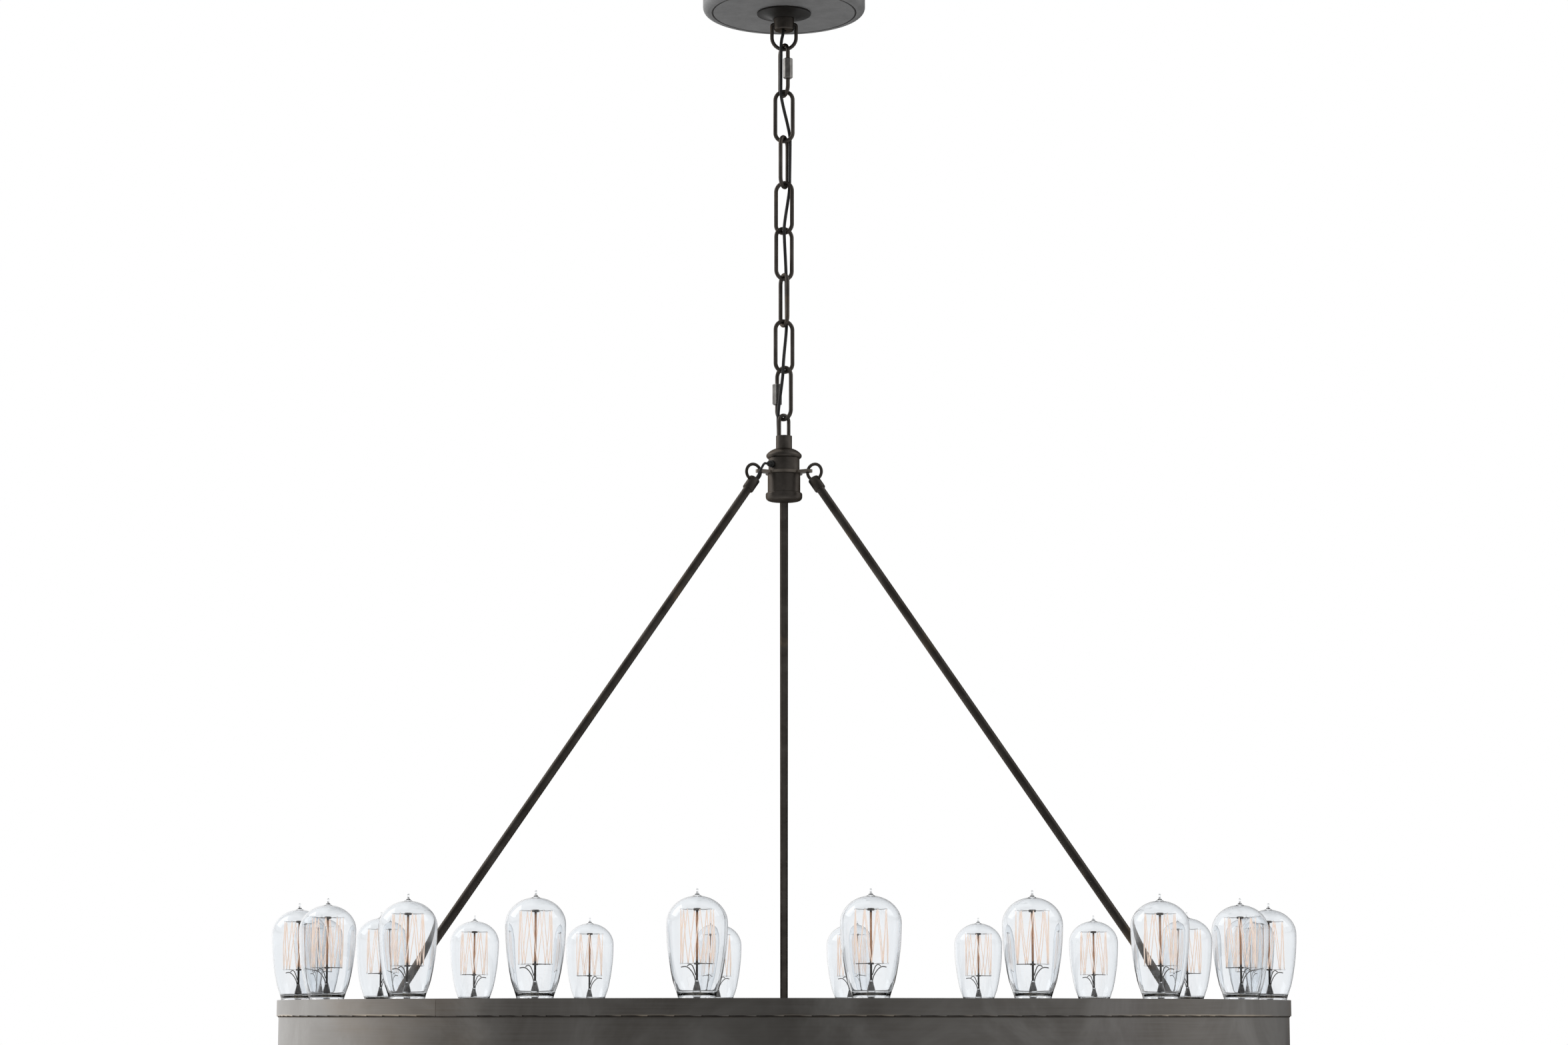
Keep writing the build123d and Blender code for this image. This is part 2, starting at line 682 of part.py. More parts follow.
def rod_tube(turn, outer_d, inner_d):
    """A straight tube along the rod's axis, from ferrule to ferrule."""
    plane = rod_plane(turn, False)
    lean = plane.from_local_coords(Vector(*rod_lean, 0)) - plane.origin
    from_hole = ferrule_start + ferrule_h - ferrule_bore_h + seat_gap
    with BuildPart() as tube:
        with BuildSketch(Plane(plane.origin + lean * from_hole, z_dir=lean)):
            Circle(outer_d / 2)
            if inner_d:
                Circle(inner_d / 2, mode=Mode.SUBTRACT)
        extrude(amount=rod_length - 2 * from_hole)
    return tube.part


# Rods: a straight tube between two eyes; the feed rod also holds the wire
for rod_name, rod_turn in zip(rod_names, rod_turns):
    save(rod_tube(rod_turn, rod_d, rod_bore_d), f"rod_{rod_name}")
    save(rod_eye(rod_turn, False, rod_name == feed_rod), f"upper_eye_{rod_name}")
    save(rod_eye(rod_turn, True, rod_name == feed_rod), f"lower_eye_{rod_name}")
save(rod_tube(feed_turn, lead_d, 0), "rod_wire")

# Ring bands: the outer one plain, the inner one drilled for the rivets and the grommet
save(hoop(band_inner_r, band_outer_r, ring_foot_z, ring_top_z), "outer_band")
rivet_z = lug_z - lug_t / 2 - lug_leg_h + lug_rivet_head_d
with BuildPart() as inner_band:
    add(hoop(inner_face_r, inner_back_r, ring_foot_z, ring_top_z))
    for rod_turn in rod_turns:
        with BuildSketch(upright(rod_turn + 90, at_angle(inner_face_r - band_t, rod_turn, rivet_z))):
            with GridLocations(lug_rivet_pitch, 1, 2, 1):
                Circle(lug_rivet_d / 2 + nipple_gap)
        extrude(amount=3 * band_t, mode=Mode.SUBTRACT)
    grommet_seat = beside_rod(inner_face_r - band_t, grommet_up, grommet_across, lug_z)
    with BuildSketch(Plane(grommet_seat, z_dir=at_angle(1, feed_turn, 0))):
        Circle(grommet_d / 2 + nipple_gap)
    extrude(amount=3 * band_t, mode=Mode.SUBTRACT)
save(inner_band.part, "inner_band")


def band_collar(edge_z, inward):
    """A flat hoop round the band's edge, open at its seam, with a bead along its other edge."""
    bead_z = edge_z + inward * collar_h
    collar_inner_r = band_outer_r + seat_gap
    seam_turn = degrees(collar_seam / ring_r)
    with BuildPart() as collar:
        with BuildSketch(upright(front_angle - collar_seam_angle + seam_turn / 2)):
            with Locations(((collar_inner_r + ring_r) / 2, edge_z + inward * collar_h / 2)):
                Rectangle(collar_t, collar_h)
            with Locations((ring_r - bead_r, bead_z)):
                Circle(bead_r)
        revolve(axis=Axis.Z, revolution_arc=360 - seam_turn)
    return collar.part


save(band_collar(ring_top_z, -1), "top_collar")
save(band_collar(ring_foot_z, 1), "bottom_collar")

# Rod lugs: angle brackets on the inner band, the level leg drilled for the eye
lug_tip_r = lug_circle_r - lug_hole_d / 2 - lug_end_wall
lug_arc = degrees(lug_width / inner_face_r)
with BuildPart() as rod_lug:
    with BuildSketch(upright(-lug_arc / 2)):
        Polygon(
            (lug_tip_r, lug_z + lug_t / 2),
            (lug_tip_r, lug_z - lug_t / 2),
            (inner_face_r - lug_t, lug_z - lug_t / 2),
            (inner_face_r - lug_t, lug_z - lug_t / 2 - lug_leg_h),
            (inner_face_r, lug_z - lug_t / 2 - lug_leg_h),
            (inner_face_r, lug_z + lug_t / 2),
            align=None,
        )
    revolve(axis=Axis.Z, revolution_arc=lug_arc)
    lug_corners = rod_lug.edges().filter_by(Axis.Z).sort_by_distance((0, 0, lug_z))[:2]
    fillet(lug_corners, lug_width / 3)
    with BuildSketch(Plane.XY.offset(lug_z - lug_t)):
        with Locations((lug_circle_r, 0)):
            Circle(lug_hole_d / 2)
    extrude(amount=2 * lug_t, mode=Mode.SUBTRACT)
    with BuildSketch(upright(90, (inner_face_r - 2 * lug_t, 0, rivet_z))):
        with GridLocations(lug_rivet_pitch, 1, 2, 1):
            Circle(lug_rivet_d / 2 + nipple_gap)
    extrude(amount=3 * lug_t, mode=Mode.SUBTRACT)
with BuildPart() as rod_lugs:
    with PolarLocations(0, len(rod_turns), start_angle=rod_turns[0]):
        add(rod_lug.part)
save(rod_lugs.part, "rod_lugs")

# Lug rivets: domed heads on the lugs, formed tails behind the band
with BuildPart() as rivet_pair:
    with BuildSketch(upright(90, (inner_face_r - lug_t - nipple_gap, 0, rivet_z))):
        with GridLocations(lug_rivet_pitch, 1, 2, 1):
            Circle(lug_rivet_d / 2)
    extrude(amount=lug_t + nipple_gap + band_t)
    with BuildSketch(upright(90, (inner_back_r, 0, rivet_z))):
        with GridLocations(lug_rivet_pitch, 1, 2, 1):
            Circle(lug_rivet_tail_d / 2)
    extrude(amount=lug_rivet_head_t / 2)
    with BuildSketch(upright(90, (inner_face_r - lug_t - nipple_gap, 0, rivet_z))):
        with GridLocations(lug_rivet_pitch, 1, 2, 1):
            Circle(lug_rivet_head_d / 2)
    extrude(amount=-lug_rivet_head_t)
    fillet(rivet_pair.edges().group_by(Axis.X)[0], lug_rivet_head_t * 0.8)
with BuildPart() as lug_rivets:
    with PolarLocations(0, len(rod_turns), start_angle=rod_turns[0]):
        add(rivet_pair.part)
save(lug_rivets.part, "lug_rivets")

# Feed grommet: a rubber sleeve with two lips in the inner band
with BuildPart() as feed_grommet:
    sleeve_start = beside_rod(inner_face_r - grommet_lip_t - seat_gap, grommet_up, grommet_across, lug_z)
    outward = Vector(*at_angle(1, feed_turn, 0))
    sleeve_length = 2 * (grommet_lip_t + seat_gap) + band_t
    with BuildSketch(Plane(sleeve_start, z_dir=outward)):
        Circle(grommet_d / 2)
    extrude(amount=sleeve_length)
    for lip_start in (0, sleeve_length - grommet_lip_t):
        with BuildSketch(Plane(Vector(*sleeve_start) + outward * lip_start, z_dir=outward)):
            Circle(grommet_lip_d / 2)
        extrude(amount=grommet_lip_t)
    with BuildSketch(Plane(sleeve_start, z_dir=outward)):
        Circle(lead_d / 2 + lead_gap)
    extrude(amount=sleeve_length, mode=Mode.SUBTRACT)
save(feed_grommet.part, "feed_grommet")

# Ring lead: from the feed rod's lower ferrule through the grommet and the deck to the harness
pan_top_z = ring_foot_z + sheet_t
harness_r = lamp_circle_r - pan_post_d / 2 - harness_d
feed_hole_r = harness_r
lower_seat = (lug_circle_r - ferrule_start * rod_lean[0], -ferrule_start * rod_lean[1])
harness_up = pan_top_z + harness_d - lug_z
ring_lead_points = [
    beside_rod(*past(lower_seat, -lead_entry), lead_offset, lug_z),
    beside_rod(*past(lower_seat, lead_step), lead_offset, lug_z),
    beside_rod(lug_circle_r + lead_step, lead_over_lug, grommet_across - 3 * lead_gap, lug_z),
    beside_rod(inner_face_r - 1.5 * lead_step, grommet_up, grommet_across, lug_z),
    beside_rod(inner_back_r + lead_step, grommet_up, grommet_across, lug_z),
    beside_rod(feed_hole_r - lead_d / 2, grommet_up - lead_step, grommet_across, lug_z),
    beside_rod(feed_hole_r, grommet_up - 3 * lead_step, grommet_across, lug_z),
    beside_rod(feed_hole_r, harness_up, grommet_across, lug_z),
]
save(cord(ring_lead_points, lead_d, 4 * lead_d), "ring_lead")

# Socket deck: the sheet that carries the lampholders, between the bands
with BuildPart() as socket_deck:
    with BuildSketch(Plane.XY.offset(deck_z - sheet_t)):
        Circle(deck_outer_r)
        Circle(deck_inner_r, mode=Mode.SUBTRACT)
        with PolarLocations(lamp_circle_r, lamp_count, start_angle=lamp_start):
            Circle(socket_stud_d / 2 + nipple_gap, mode=Mode.SUBTRACT)
        feed_hole = beside_rod(feed_hole_r, 0, grommet_across, 0)
        with Locations(feed_hole[:2]):
            Circle(lead_d, mode=Mode.SUBTRACT)
    extrude(amount=sheet_t)
save(socket_deck.part, "socket_deck")

# Bottom pan with its posts and screws
with BuildPart() as bottom_pan:
    with BuildSketch(Plane.XY.offset(ring_foot_z)):
        Circle(deck_outer_r)
        Circle(deck_inner_r, mode=Mode.SUBTRACT)
        with PolarLocations(lamp_circle_r, pan_post_count, start_angle=front_angle):
            Circle(pan_screw_d / 2 + lead_gap, mode=Mode.SUBTRACT)
    extrude(amount=sheet_t)
save(bottom_pan.part, "bottom_pan")
with BuildPart() as pan_posts:
    with BuildSketch(Plane.XY.offset(pan_top_z)):
        with PolarLocations(lamp_circle_r, pan_post_count, start_angle=front_angle):
            Circle(pan_post_d / 2)
    extrude(amount=deck_z - sheet_t - pan_top_z)
    with BuildSketch(Plane.XY.offset(pan_top_z)):
        with PolarLocations(lamp_circle_r, pan_post_count, start_angle=front_angle):
            Circle(pan_screw_d / 2 + lead_gap)
    extrude(amount=pan_screw_grip, mode=Mode.SUBTRACT)
save(pan_posts.part, "pan_posts")
with BuildPart() as pan_screw:
    with BuildSketch(Plane.XY.offset(ring_foot_z - pan_screw_head_t)):
        Circle(pan_screw_head_d / 2)
    extrude(amount=pan_screw_head_t)
    fillet(pan_screw.edges().group_by(Axis.Z)[0], pan_screw_head_t * 0.6)
    with BuildSketch(Plane.XY.offset(ring_foot_z)):
        Circle(pan_screw_d / 2)
    extrude(amount=sheet_t + pan_screw_grip - seat_gap)
with BuildPart() as pan_screws:
    with PolarLocations(lamp_circle_r, pan_post_count, start_angle=front_angle):
        add(pan_screw.part)
save(pan_screws.part, "pan_screws")

# Lampholders: a moulded cup with a threaded stud through the deck
base_top_z = ring_top_z - base_top_drop
base_foot_z = base_top_z - base_h
cup_floor_z = base_foot_z - contact_h
with BuildPart() as socket:
    with BuildSketch(Plane.XY.offset(deck_z)):
        Circle(socket_d / 2)
    extrude(amount=deck_drop - socket_rim_drop)
    fillet(socket.edges().group_by(Axis.Z)[-1], sheet_t)
    with BuildSketch(Plane.XY.offset(cup_floor_z)):
        Circle(base_d / 2 + socket_play)
    extrude(amount=deck_drop, mode=Mode.SUBTRACT)
    with BuildSketch(Plane.XY.offset(deck_z - socket_stud_h)):
        Circle(socket_stud_d / 2)
    extrude(amount=socket_stud_h)
save(around_lamps(socket.part), "sockets")

# Nuts that hold the lampholders to the deck
with BuildPart() as socket_nut:
    with BuildSketch(Plane.XY.offset(deck_z - sheet_t - nut_h)):
        RegularPolygon(nut_flats / 2, 6, major_radius=False)
        Circle(socket_stud_d / 2 + nipple_gap, mode=Mode.SUBTRACT)
    extrude(amount=nut_h)
save(around_lamps(socket_nut.part), "socket_nuts")

# Lamp bases: a screw shell with a rounded shoulder and an end contact, its top open for the glass
neck_r = base_d / 2 - glass_t - seat_gap
neck_seat_z = base_top_z - 2 * contact_h
with BuildPart() as bulb_base:
    with BuildSketch(Plane.XZ):
        Polygon(
            (0, cup_floor_z),
            (contact_d / 2, cup_floor_z),
            (contact_d / 2, base_foot_z),
            (base_d / 2 - base_shoulder, base_foot_z),
            (base_d / 2, base_foot_z + base_shoulder),
            (base_d / 2, base_top_z),
            (neck_r + seat_gap, base_top_z),
            (neck_r + seat_gap, neck_seat_z),
            (0, neck_seat_z),
            align=None,
        )
    revolve(axis=Axis.Z)
save(around_lamps(bulb_base.part), "bulb_bases")


def glass_outline(inset):
    """Half the bulb's outline from its widest height down to its neck, moved in by inset."""
    widest = (bulb_d / 2 - inset, ring_top_z + bulb_widest_h)
    flank = JernArc(widest, (0, -1), bulb_flank_r - inset, -flank_turn)
    shoulder = JernArc(flank @ 1, flank % 1, bulb_shoulder_r - inset, -bulb_shoulder_turn)
    Polyline(shoulder @ 1, (neck_r - inset, base_top_z), (neck_r - inset, neck_seat_z))


# Bulb glass: a clear shell with a long flank, a low dome and a sealed pip
flank_turn = degrees(asin((bulb_widest_h - bulb_shoulder_h) / bulb_flank_r))
dome_rise = bulb_dome_h - bulb_widest_h
dome_centre = (0, ring_top_z + bulb_widest_h)
pip_turn = degrees(acos(pip_root_r / (bulb_d / 2)))
inside_r = bulb_d / 2 - glass_t
inside_turn = degrees(acos(pip_r / inside_r))
tip_z = ring_top_z + bulb_tip_h
with BuildPart() as bulb:
    with BuildSketch(Plane.XZ):
        with BuildLine():
            glass_outline(0)
            dome = EllipticalCenterArc(dome_centre, bulb_d / 2, dome_rise, arc_size=pip_turn)
            Line(dome @ 1, (pip_r, tip_z - pip_r))
            RadiusArc((pip_r, tip_z - pip_r), (0, tip_z), -pip_r)
            inside = EllipticalCenterArc(dome_centre, inside_r, dome_rise - glass_t, arc_size=inside_turn)
            Polyline((0, tip_z), (0, (inside @ 1).Y), inside @ 1)
            glass_outline(glass_t)
            Line((neck_r, neck_seat_z), (neck_r - glass_t, neck_seat_z))
        make_face()
    revolve(axis=Axis.Z)
save(around_lamps(bulb.part), "bulb_glass")

# Bulb stems: a glass flare and stem, the centre rod, and two hubs with their spokes
flare_r = neck_r - glass_t - seat_gap
spoke_reach = cage_r - strand_d / 2 - seat_gap
spoke_count = cage_strands // 2
with BuildPart() as bulb_stem:
    with BuildSketch(Plane.XZ):
        Polygon(
            (0, neck_seat_z),
            (flare_r, neck_seat_z),
            (stem_d / 2, ring_top_z),
            (stem_d / 2, ring_top_z + stem_h - stem_d),
            (centre_rod_d / 2, ring_top_z + stem_h),
            (centre_rod_d / 2, ring_top_z + cage_foot_h - cage_hub_t / 2),
            (cage_hub_d / 2, ring_top_z + cage_foot_h - cage_hub_t / 2),
            (cage_hub_d / 2, ring_top_z + cage_foot_h + cage_hub_t / 2),
            (centre_rod_d / 2, ring_top_z + cage_foot_h + cage_hub_t / 2),
            (centre_rod_d / 2, ring_top_z + cage_top_h - cage_hub_t / 2),
            (cage_hub_d / 2, ring_top_z + cage_top_h - cage_hub_t / 2),
            (cage_hub_d / 2, ring_top_z + cage_top_h + cage_hub_t / 2),
            (0, ring_top_z + cage_top_h + cage_hub_t / 2),
            align=None,
        )
    revolve(axis=Axis.Z)
    for level, start in ((cage_top_h, 0), (cage_foot_h, 360 / cage_strands)):
        for spoke in range(spoke_count):
            spoke_turn = start + spoke * 360 / spoke_count
            with BuildSketch(Plane((0, 0, ring_top_z + level), z_dir=at_angle(1, spoke_turn, 0))):
                Circle(spoke_d / 2)
            extrude(amount=spoke_reach)
save(around_lamps(bulb_stem.part), "bulb_stems")

# Filaments: fine strands that run up and down between the spokes' ends
with BuildPart() as filament:
    for strand in range(cage_strands):
        hooks = [ring_top_z + cage_top_h, ring_top_z + cage_foot_h]
        start_hook = Vector(*at_angle(cage_r, strand * 360 / cage_strands, hooks[strand % 2]))
        end_hook = Vector(*at_angle(cage_r, (strand + 1) * 360 / cage_strands, hooks[(strand + 1) % 2]))
        with BuildSketch(Plane(start_hook, z_dir=end_hook - start_hook)):
            Circle(strand_d / 2)
        extrude(amount=(end_hook - start_hook).length)
save(around_lamps(filament.part), "filaments")

# Wiring harness: a loop of bundled wire lying in the pan
with BuildPart() as wiring_harness:
    with Locations((0, 0, pan_top_z + harness_d / 2)):
        Torus(harness_r, harness_d / 2)
save(wiring_harness.part, "wiring_harness")

# Socket leads: one from each lampholder's stud down to the harness
stud_foot_z = deck_z - socket_stud_h
harness_step = harness_r - lamp_circle_r
harness_top_z = pan_top_z + harness_d
lead_bend_drop = (stud_foot_z - harness_top_z) / 3
socket_lead_points = [
    (0, 0, stud_foot_z),
    (0, 0, stud_foot_z - lead_bend_drop),
    (harness_step, 0, harness_top_z + lead_bend_drop),
    (harness_step, 0, harness_top_z),
]
save(around_lamps(cord(socket_lead_points, socket_lead_d, 4 * socket_lead_d)), "socket_leads")
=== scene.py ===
import json
from math import acos, asin, cos, exp, pi, radians, sin, tan

import bpy
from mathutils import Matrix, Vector


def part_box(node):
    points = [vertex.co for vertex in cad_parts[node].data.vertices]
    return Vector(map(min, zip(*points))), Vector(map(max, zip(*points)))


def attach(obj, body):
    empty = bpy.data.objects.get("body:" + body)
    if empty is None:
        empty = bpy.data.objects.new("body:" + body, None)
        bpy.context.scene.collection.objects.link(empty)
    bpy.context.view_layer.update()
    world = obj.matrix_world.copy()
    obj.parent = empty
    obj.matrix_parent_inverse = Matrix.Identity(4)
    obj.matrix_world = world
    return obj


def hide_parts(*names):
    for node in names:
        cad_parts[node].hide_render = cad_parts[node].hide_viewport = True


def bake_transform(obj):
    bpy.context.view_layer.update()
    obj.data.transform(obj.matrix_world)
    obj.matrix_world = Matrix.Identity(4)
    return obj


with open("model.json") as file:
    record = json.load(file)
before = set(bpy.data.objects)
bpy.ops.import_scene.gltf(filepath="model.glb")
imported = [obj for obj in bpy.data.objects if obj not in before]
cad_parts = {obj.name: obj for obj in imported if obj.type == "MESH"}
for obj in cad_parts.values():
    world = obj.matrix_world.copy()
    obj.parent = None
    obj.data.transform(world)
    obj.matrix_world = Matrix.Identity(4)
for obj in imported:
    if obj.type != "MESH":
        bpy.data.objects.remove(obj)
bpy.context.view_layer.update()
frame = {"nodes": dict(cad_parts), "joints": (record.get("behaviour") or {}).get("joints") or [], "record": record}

nodes = frame["nodes"]
pivot_of = {joint["child"]: joint["pos_m"] for joint in frame["joints"] if "pos_m" in joint}

# Levels and radii of the frame, in metres
MM = 0.001
RING_TOP = pivot_of["ring"][2]
RING_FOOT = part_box("bottom_collar")[0][2]
RING_R = 0.6096
BEAD_DROP = 0.018
LAMP_R = 0.58485
PLATE_Z = pivot_of["rod_left"][2]
LUG_R = 0.545
LUG_Z = -1.30795

# How many lamps there are, and where the rod with the feed stands
LAMPS = 20
FEED_TURN = radians(210)


# Camera at the photograph's place: a little under the ring's top edge, tipped up
CAMERA_BACK = 4.247
CAMERA_DROP = 0.0195
CAMERA_TIP = 8.125
SENSOR_MM = 36.0
LENS_MM = 79.52
FAR_CLIP = 200.0

camera = bpy.data.objects.new("camera", bpy.data.cameras.new("camera"))
bpy.context.collection.objects.link(camera)
camera.data.sensor_width = SENSOR_MM
camera.data.lens = LENS_MM
camera.data.clip_end = FAR_CLIP
camera.location = (0.0, -CAMERA_BACK, RING_TOP - CAMERA_DROP)
camera.rotation_euler = (radians(90 + CAMERA_TIP), 0.0, 0.0)
bpy.context.scene.camera = camera
bpy.context.scene.view_settings.view_transform = "Standard"


# Shader helpers: the middle of a noise's range, and the sockets of a node that mixes colours
NOISE_LOW, NOISE_HIGH = 0.3, 0.7
MIX_FACTOR, MIX_A, MIX_B, MIX_RESULT = 0, 6, 7, 2


class Nodes:
    """A node tree, emptied, with short ways to add nodes to it."""

    def __init__(self, tree):
        self.tree = tree
        tree.nodes.clear()

    def add(self, kind):
        return self.tree.nodes.new(kind)

    def link(self, start, end):
        self.tree.links.new(start, end)

    def feed(self, socket, value):
        """Links a socket to another one, or sets its number or colour."""
        if isinstance(value, bpy.types.NodeSocket):
            self.link(value, socket)
        elif isinstance(value, tuple):
            socket.default_value = (*value, 1.0)
        else:
            socket.default_value = value

    def maths(self, how, a, b):
        node = self.add("ShaderNodeMath")
        node.operation = how
        self.feed(node.inputs[0], a)
        self.feed(node.inputs[1], b)
        return node.outputs[0]

    def mix(self, factor, a, b):
        """Colour a where the factor is 0, and b where it is 1."""
        node = self.add("ShaderNodeMix")
        node.data_type = "RGBA"
        self.feed(node.inputs[MIX_FACTOR], factor)
        self.feed(node.inputs[MIX_A], a)
        self.feed(node.inputs[MIX_B], b)
        return node.outputs[MIX_RESULT]

    def mix_shaders(self, factor, a, b):
        node = self.add("ShaderNodeMixShader")
        self.link(factor, node.inputs["Fac"])
        self.link(a, node.inputs[1])
        self.link(b, node.inputs[2])
        return node.outputs["Shader"]

    def ramp(self, factor, *stops):
        """Colours at rising places between 0 and 1."""
        node = self.add("ShaderNodeValToRGB")
        band = node.color_ramp
        while len(band.elements) < len(stops):
            band.elements.new(0.5)
        for element, (at, colour) in zip(band.elements, stops):
            element.position = at
            element.color = (*colour, 1.0)
        self.link(factor, node.inputs["Fac"])
        return node.outputs["Color"]

    def span(self, factor, to=(0.0, 1.0), over=(0.0, 1.0)):
        """A number that goes from one end of a range to the other while the factor goes over its own."""
        node = self.add("ShaderNodeMapRange")
        node.inputs["From Min"].default_value = over[0]
        node.inputs["From Max"].default_value = over[1]
        node.inputs["To Min"].default_value = to[0]
        node.inputs["To Max"].default_value = to[1]
        self.link(factor, node.inputs["Value"])
        return node.outputs["Result"]

    def axes(self, vector):
        """The X, Y and Z of a vector."""
        node = self.add("ShaderNodeSeparateXYZ")
        self.link(vector, node.inputs["Vector"])
        return node.outputs["X"], node.outputs["Y"], node.outputs["Z"]


class Shader(Nodes):
    """A node material with a Principled surface."""

    def __init__(self, name):
        self.material = bpy.data.materials.new(name)
        self.material.use_nodes = True
        super().__init__(self.material.node_tree)
        self.out = self.add("ShaderNodeOutputMaterial")
        self.surface = self.add("ShaderNodeBsdfPrincipled")
        self.show(self.surface.outputs["BSDF"])
        self.place = self.add("ShaderNodeTexCoord").outputs["Object"]

    def show(self, shader):
        self.link(shader, self.out.inputs["Surface"])

    def set(self, **values):
        for name, value in values.items():
            self.feed(self.surface.inputs[name.replace("_", " ")], value)

    def scaled(self, x, y, z):
        """The object's coordinates times three factors."""
        node = self.add("ShaderNodeMapping")
        node.inputs["Scale"].default_value = (x, y, z)
        self.link(self.place, node.inputs["Vector"])
        return node.outputs["Vector"]

    def noise(self, scale, detail=4.0, rough=0.55, warp=0.0, vector=None):
        node = self.add("ShaderNodeTexNoise")
        node.inputs["Scale"].default_value = scale
        node.inputs["Detail"].default_value = detail
        node.inputs["Roughness"].default_value = rough
        node.inputs["Distortion"].default_value = warp
        self.link(self.place if vector is None else vector, node.inputs["Vector"])
        return node.outputs["Fac"]

    def tones(self, noise, dark, light):
        """Two colours over the middle of a noise's range."""
        return self.ramp(noise, (NOISE_LOW, dark), (NOISE_HIGH, light))

    def spread(self, noise, low, high):
        """A number from low to high over the middle of a noise's range."""
        return self.span(noise, to=(low, high), over=(NOISE_LOW, NOISE_HIGH))

    def bump(self, *layers):
        """Layers of bumps, each a height, its depth in metres and its strength."""
        normal = None
        for height, depth, strength in layers:
            node = self.add("ShaderNodeBump")
            node.inputs["Distance"].default_value = depth
            node.inputs["Strength"].default_value = strength
            self.link(height, node.inputs["Height"])
            if normal is not None:
                self.link(normal, node.inputs["Normal"])
            normal = node.outputs["Normal"]
        self.set(Normal=normal)


# Materials
def ring_bronze():
    """Gun-metal bronze of the ring: brushed round under a cloudy patina, with a painted highlight along its upper
    bead.
    """
    s = Shader("ring_bronze")
    brushed = s.noise(1.0, detail=3.0, rough=0.6, vector=s.scaled(7.0, 7.0, 420.0))
    cloud = s.noise(6.5, detail=5.0, rough=0.62, warp=0.8)
    bloom = s.noise(2.6, detail=3.0, rough=0.5, warp=0.3, vector=s.scaled(1.0, 1.0, 1.7))
    plum = s.noise(3.7, detail=2.0, rough=0.5, vector=s.scaled(1.0, 1.0, 0.6))
    mottle = s.noise(8.0, detail=3.0, rough=0.6)
    base = s.ramp(cloud, (0.36, (0.167, 0.154, 0.139)), (0.52, (0.227, 0.214, 0.199)),
                  (0.66, (0.312, 0.3, 0.285)))
    base = s.mix(s.span(bloom, to=(0.0, 0.65), over=(0.52, 0.72)), base, (0.3, 0.24, 0.18))
    base = s.mix(s.span(plum, to=(0.0, 0.4), over=(0.6, 0.78)), base, (0.225, 0.2, 0.22))
    base = s.mix(s.span(brushed, to=(0.0, 0.25), over=(0.35, 0.7)), base, (0.3, 0.295, 0.288))
    # Painted highlight: a light line on the outer face at the upper bead's level, broken into patches by a noise
    reach = s.add("ShaderNodeVectorMath")
    reach.operation = "LENGTH"
    s.link(s.scaled(1.0, 1.0, 0.0), reach.inputs[0])
    outside = s.span(reach.outputs["Value"], over=(RING_R - 0.0016, RING_R - 0.001))
    level = s.axes(s.place)[2]
    from_bead = s.maths("ABSOLUTE", s.maths("ADD", level, BEAD_DROP - RING_TOP), 0.0)
    bead_highlight = s.maths("MULTIPLY", outside, s.span(from_bead, to=(1.0, 0.0), over=(0.0004, 0.0012)))
    bead_highlight = s.maths("MULTIPLY", bead_highlight, s.span(mottle, to=(0.0, 0.85), over=(0.47, 0.62)))
    gloss = s.maths("ADD", s.spread(cloud, 0.34, 0.46), s.span(brushed, to=(-0.03, 0.05)))
    s.set(Base_Color=s.mix(bead_highlight, base, (0.56, 0.48, 0.38)), Metallic=1.0, IOR=1.5, Roughness=gloss)
    s.bump((brushed, 0.0002, 0.18), (s.noise(900.0, detail=2.0), 0.00006, 0.2))
    return s.material


def dark_bronze(name, tone):
    """Darker bronze of the hub, chain, rods and canopy fittings, rubbed warm here and there."""
    s = Shader(name)
    cloud = s.noise(38.0, detail=5.0, rough=0.6, warp=0.4)
    rub = s.noise(21.0, detail=3.0, rough=0.55)
    dark, middle, light, rubbed = [tuple(tone * part for part in colour) for colour in (
        (0.1, 0.088, 0.078), (0.15, 0.134, 0.12), (0.22, 0.2, 0.18), (0.32, 0.24, 0.16))]
    base = s.ramp(cloud, (0.3, dark), (0.55, middle), (0.75, light))
    base = s.mix(s.span(rub, to=(0.0, 0.6), over=(0.6, 0.76)), base, rubbed)
    s.set(Base_Color=base, Metallic=1.0, IOR=1.5, Specular_Tint=(0.4, 0.38, 0.36),
          Roughness=s.spread(cloud, 0.36, 0.5))
    s.bump((s.noise(260.0, detail=3.0), 0.0001, 0.2))
    return s.material


def dark_lacquer():
    """Near-black satin lacquer of the canopy's collar, and of the painted shade line in its groove."""
    s = Shader("dark_lacquer")
    cloud = s.noise(60.0, detail=4.0, rough=0.6)
    s.set(Base_Color=s.tones(cloud, (0.009, 0.008, 0.007), (0.02, 0.018, 0.016)), IOR=1.4,
          Specular_IOR_Level=0.25, Roughness=s.spread(cloud, 0.4, 0.5))
    s.bump((s.noise(320.0, detail=2.0), 0.00005, 0.15))
    return s.material


def worn_bronze():
    """Bronze rubbed lighter and warmer, of the eye plate and the collars' seams."""
    s = Shader("worn_bronze")
    cloud = s.noise(52.0, detail=5.0, rough=0.6, warp=0.4)
    s.set(Base_Color=s.ramp(cloud, (0.3, (0.2, 0.175, 0.15)), (0.72, (0.34, 0.3, 0.26))), Metallic=1.0,
          IOR=1.5, Roughness=s.spread(cloud, 0.36, 0.52))
    s.bump((s.noise(260.0, detail=3.0), 0.0001, 0.2))
    return s.material


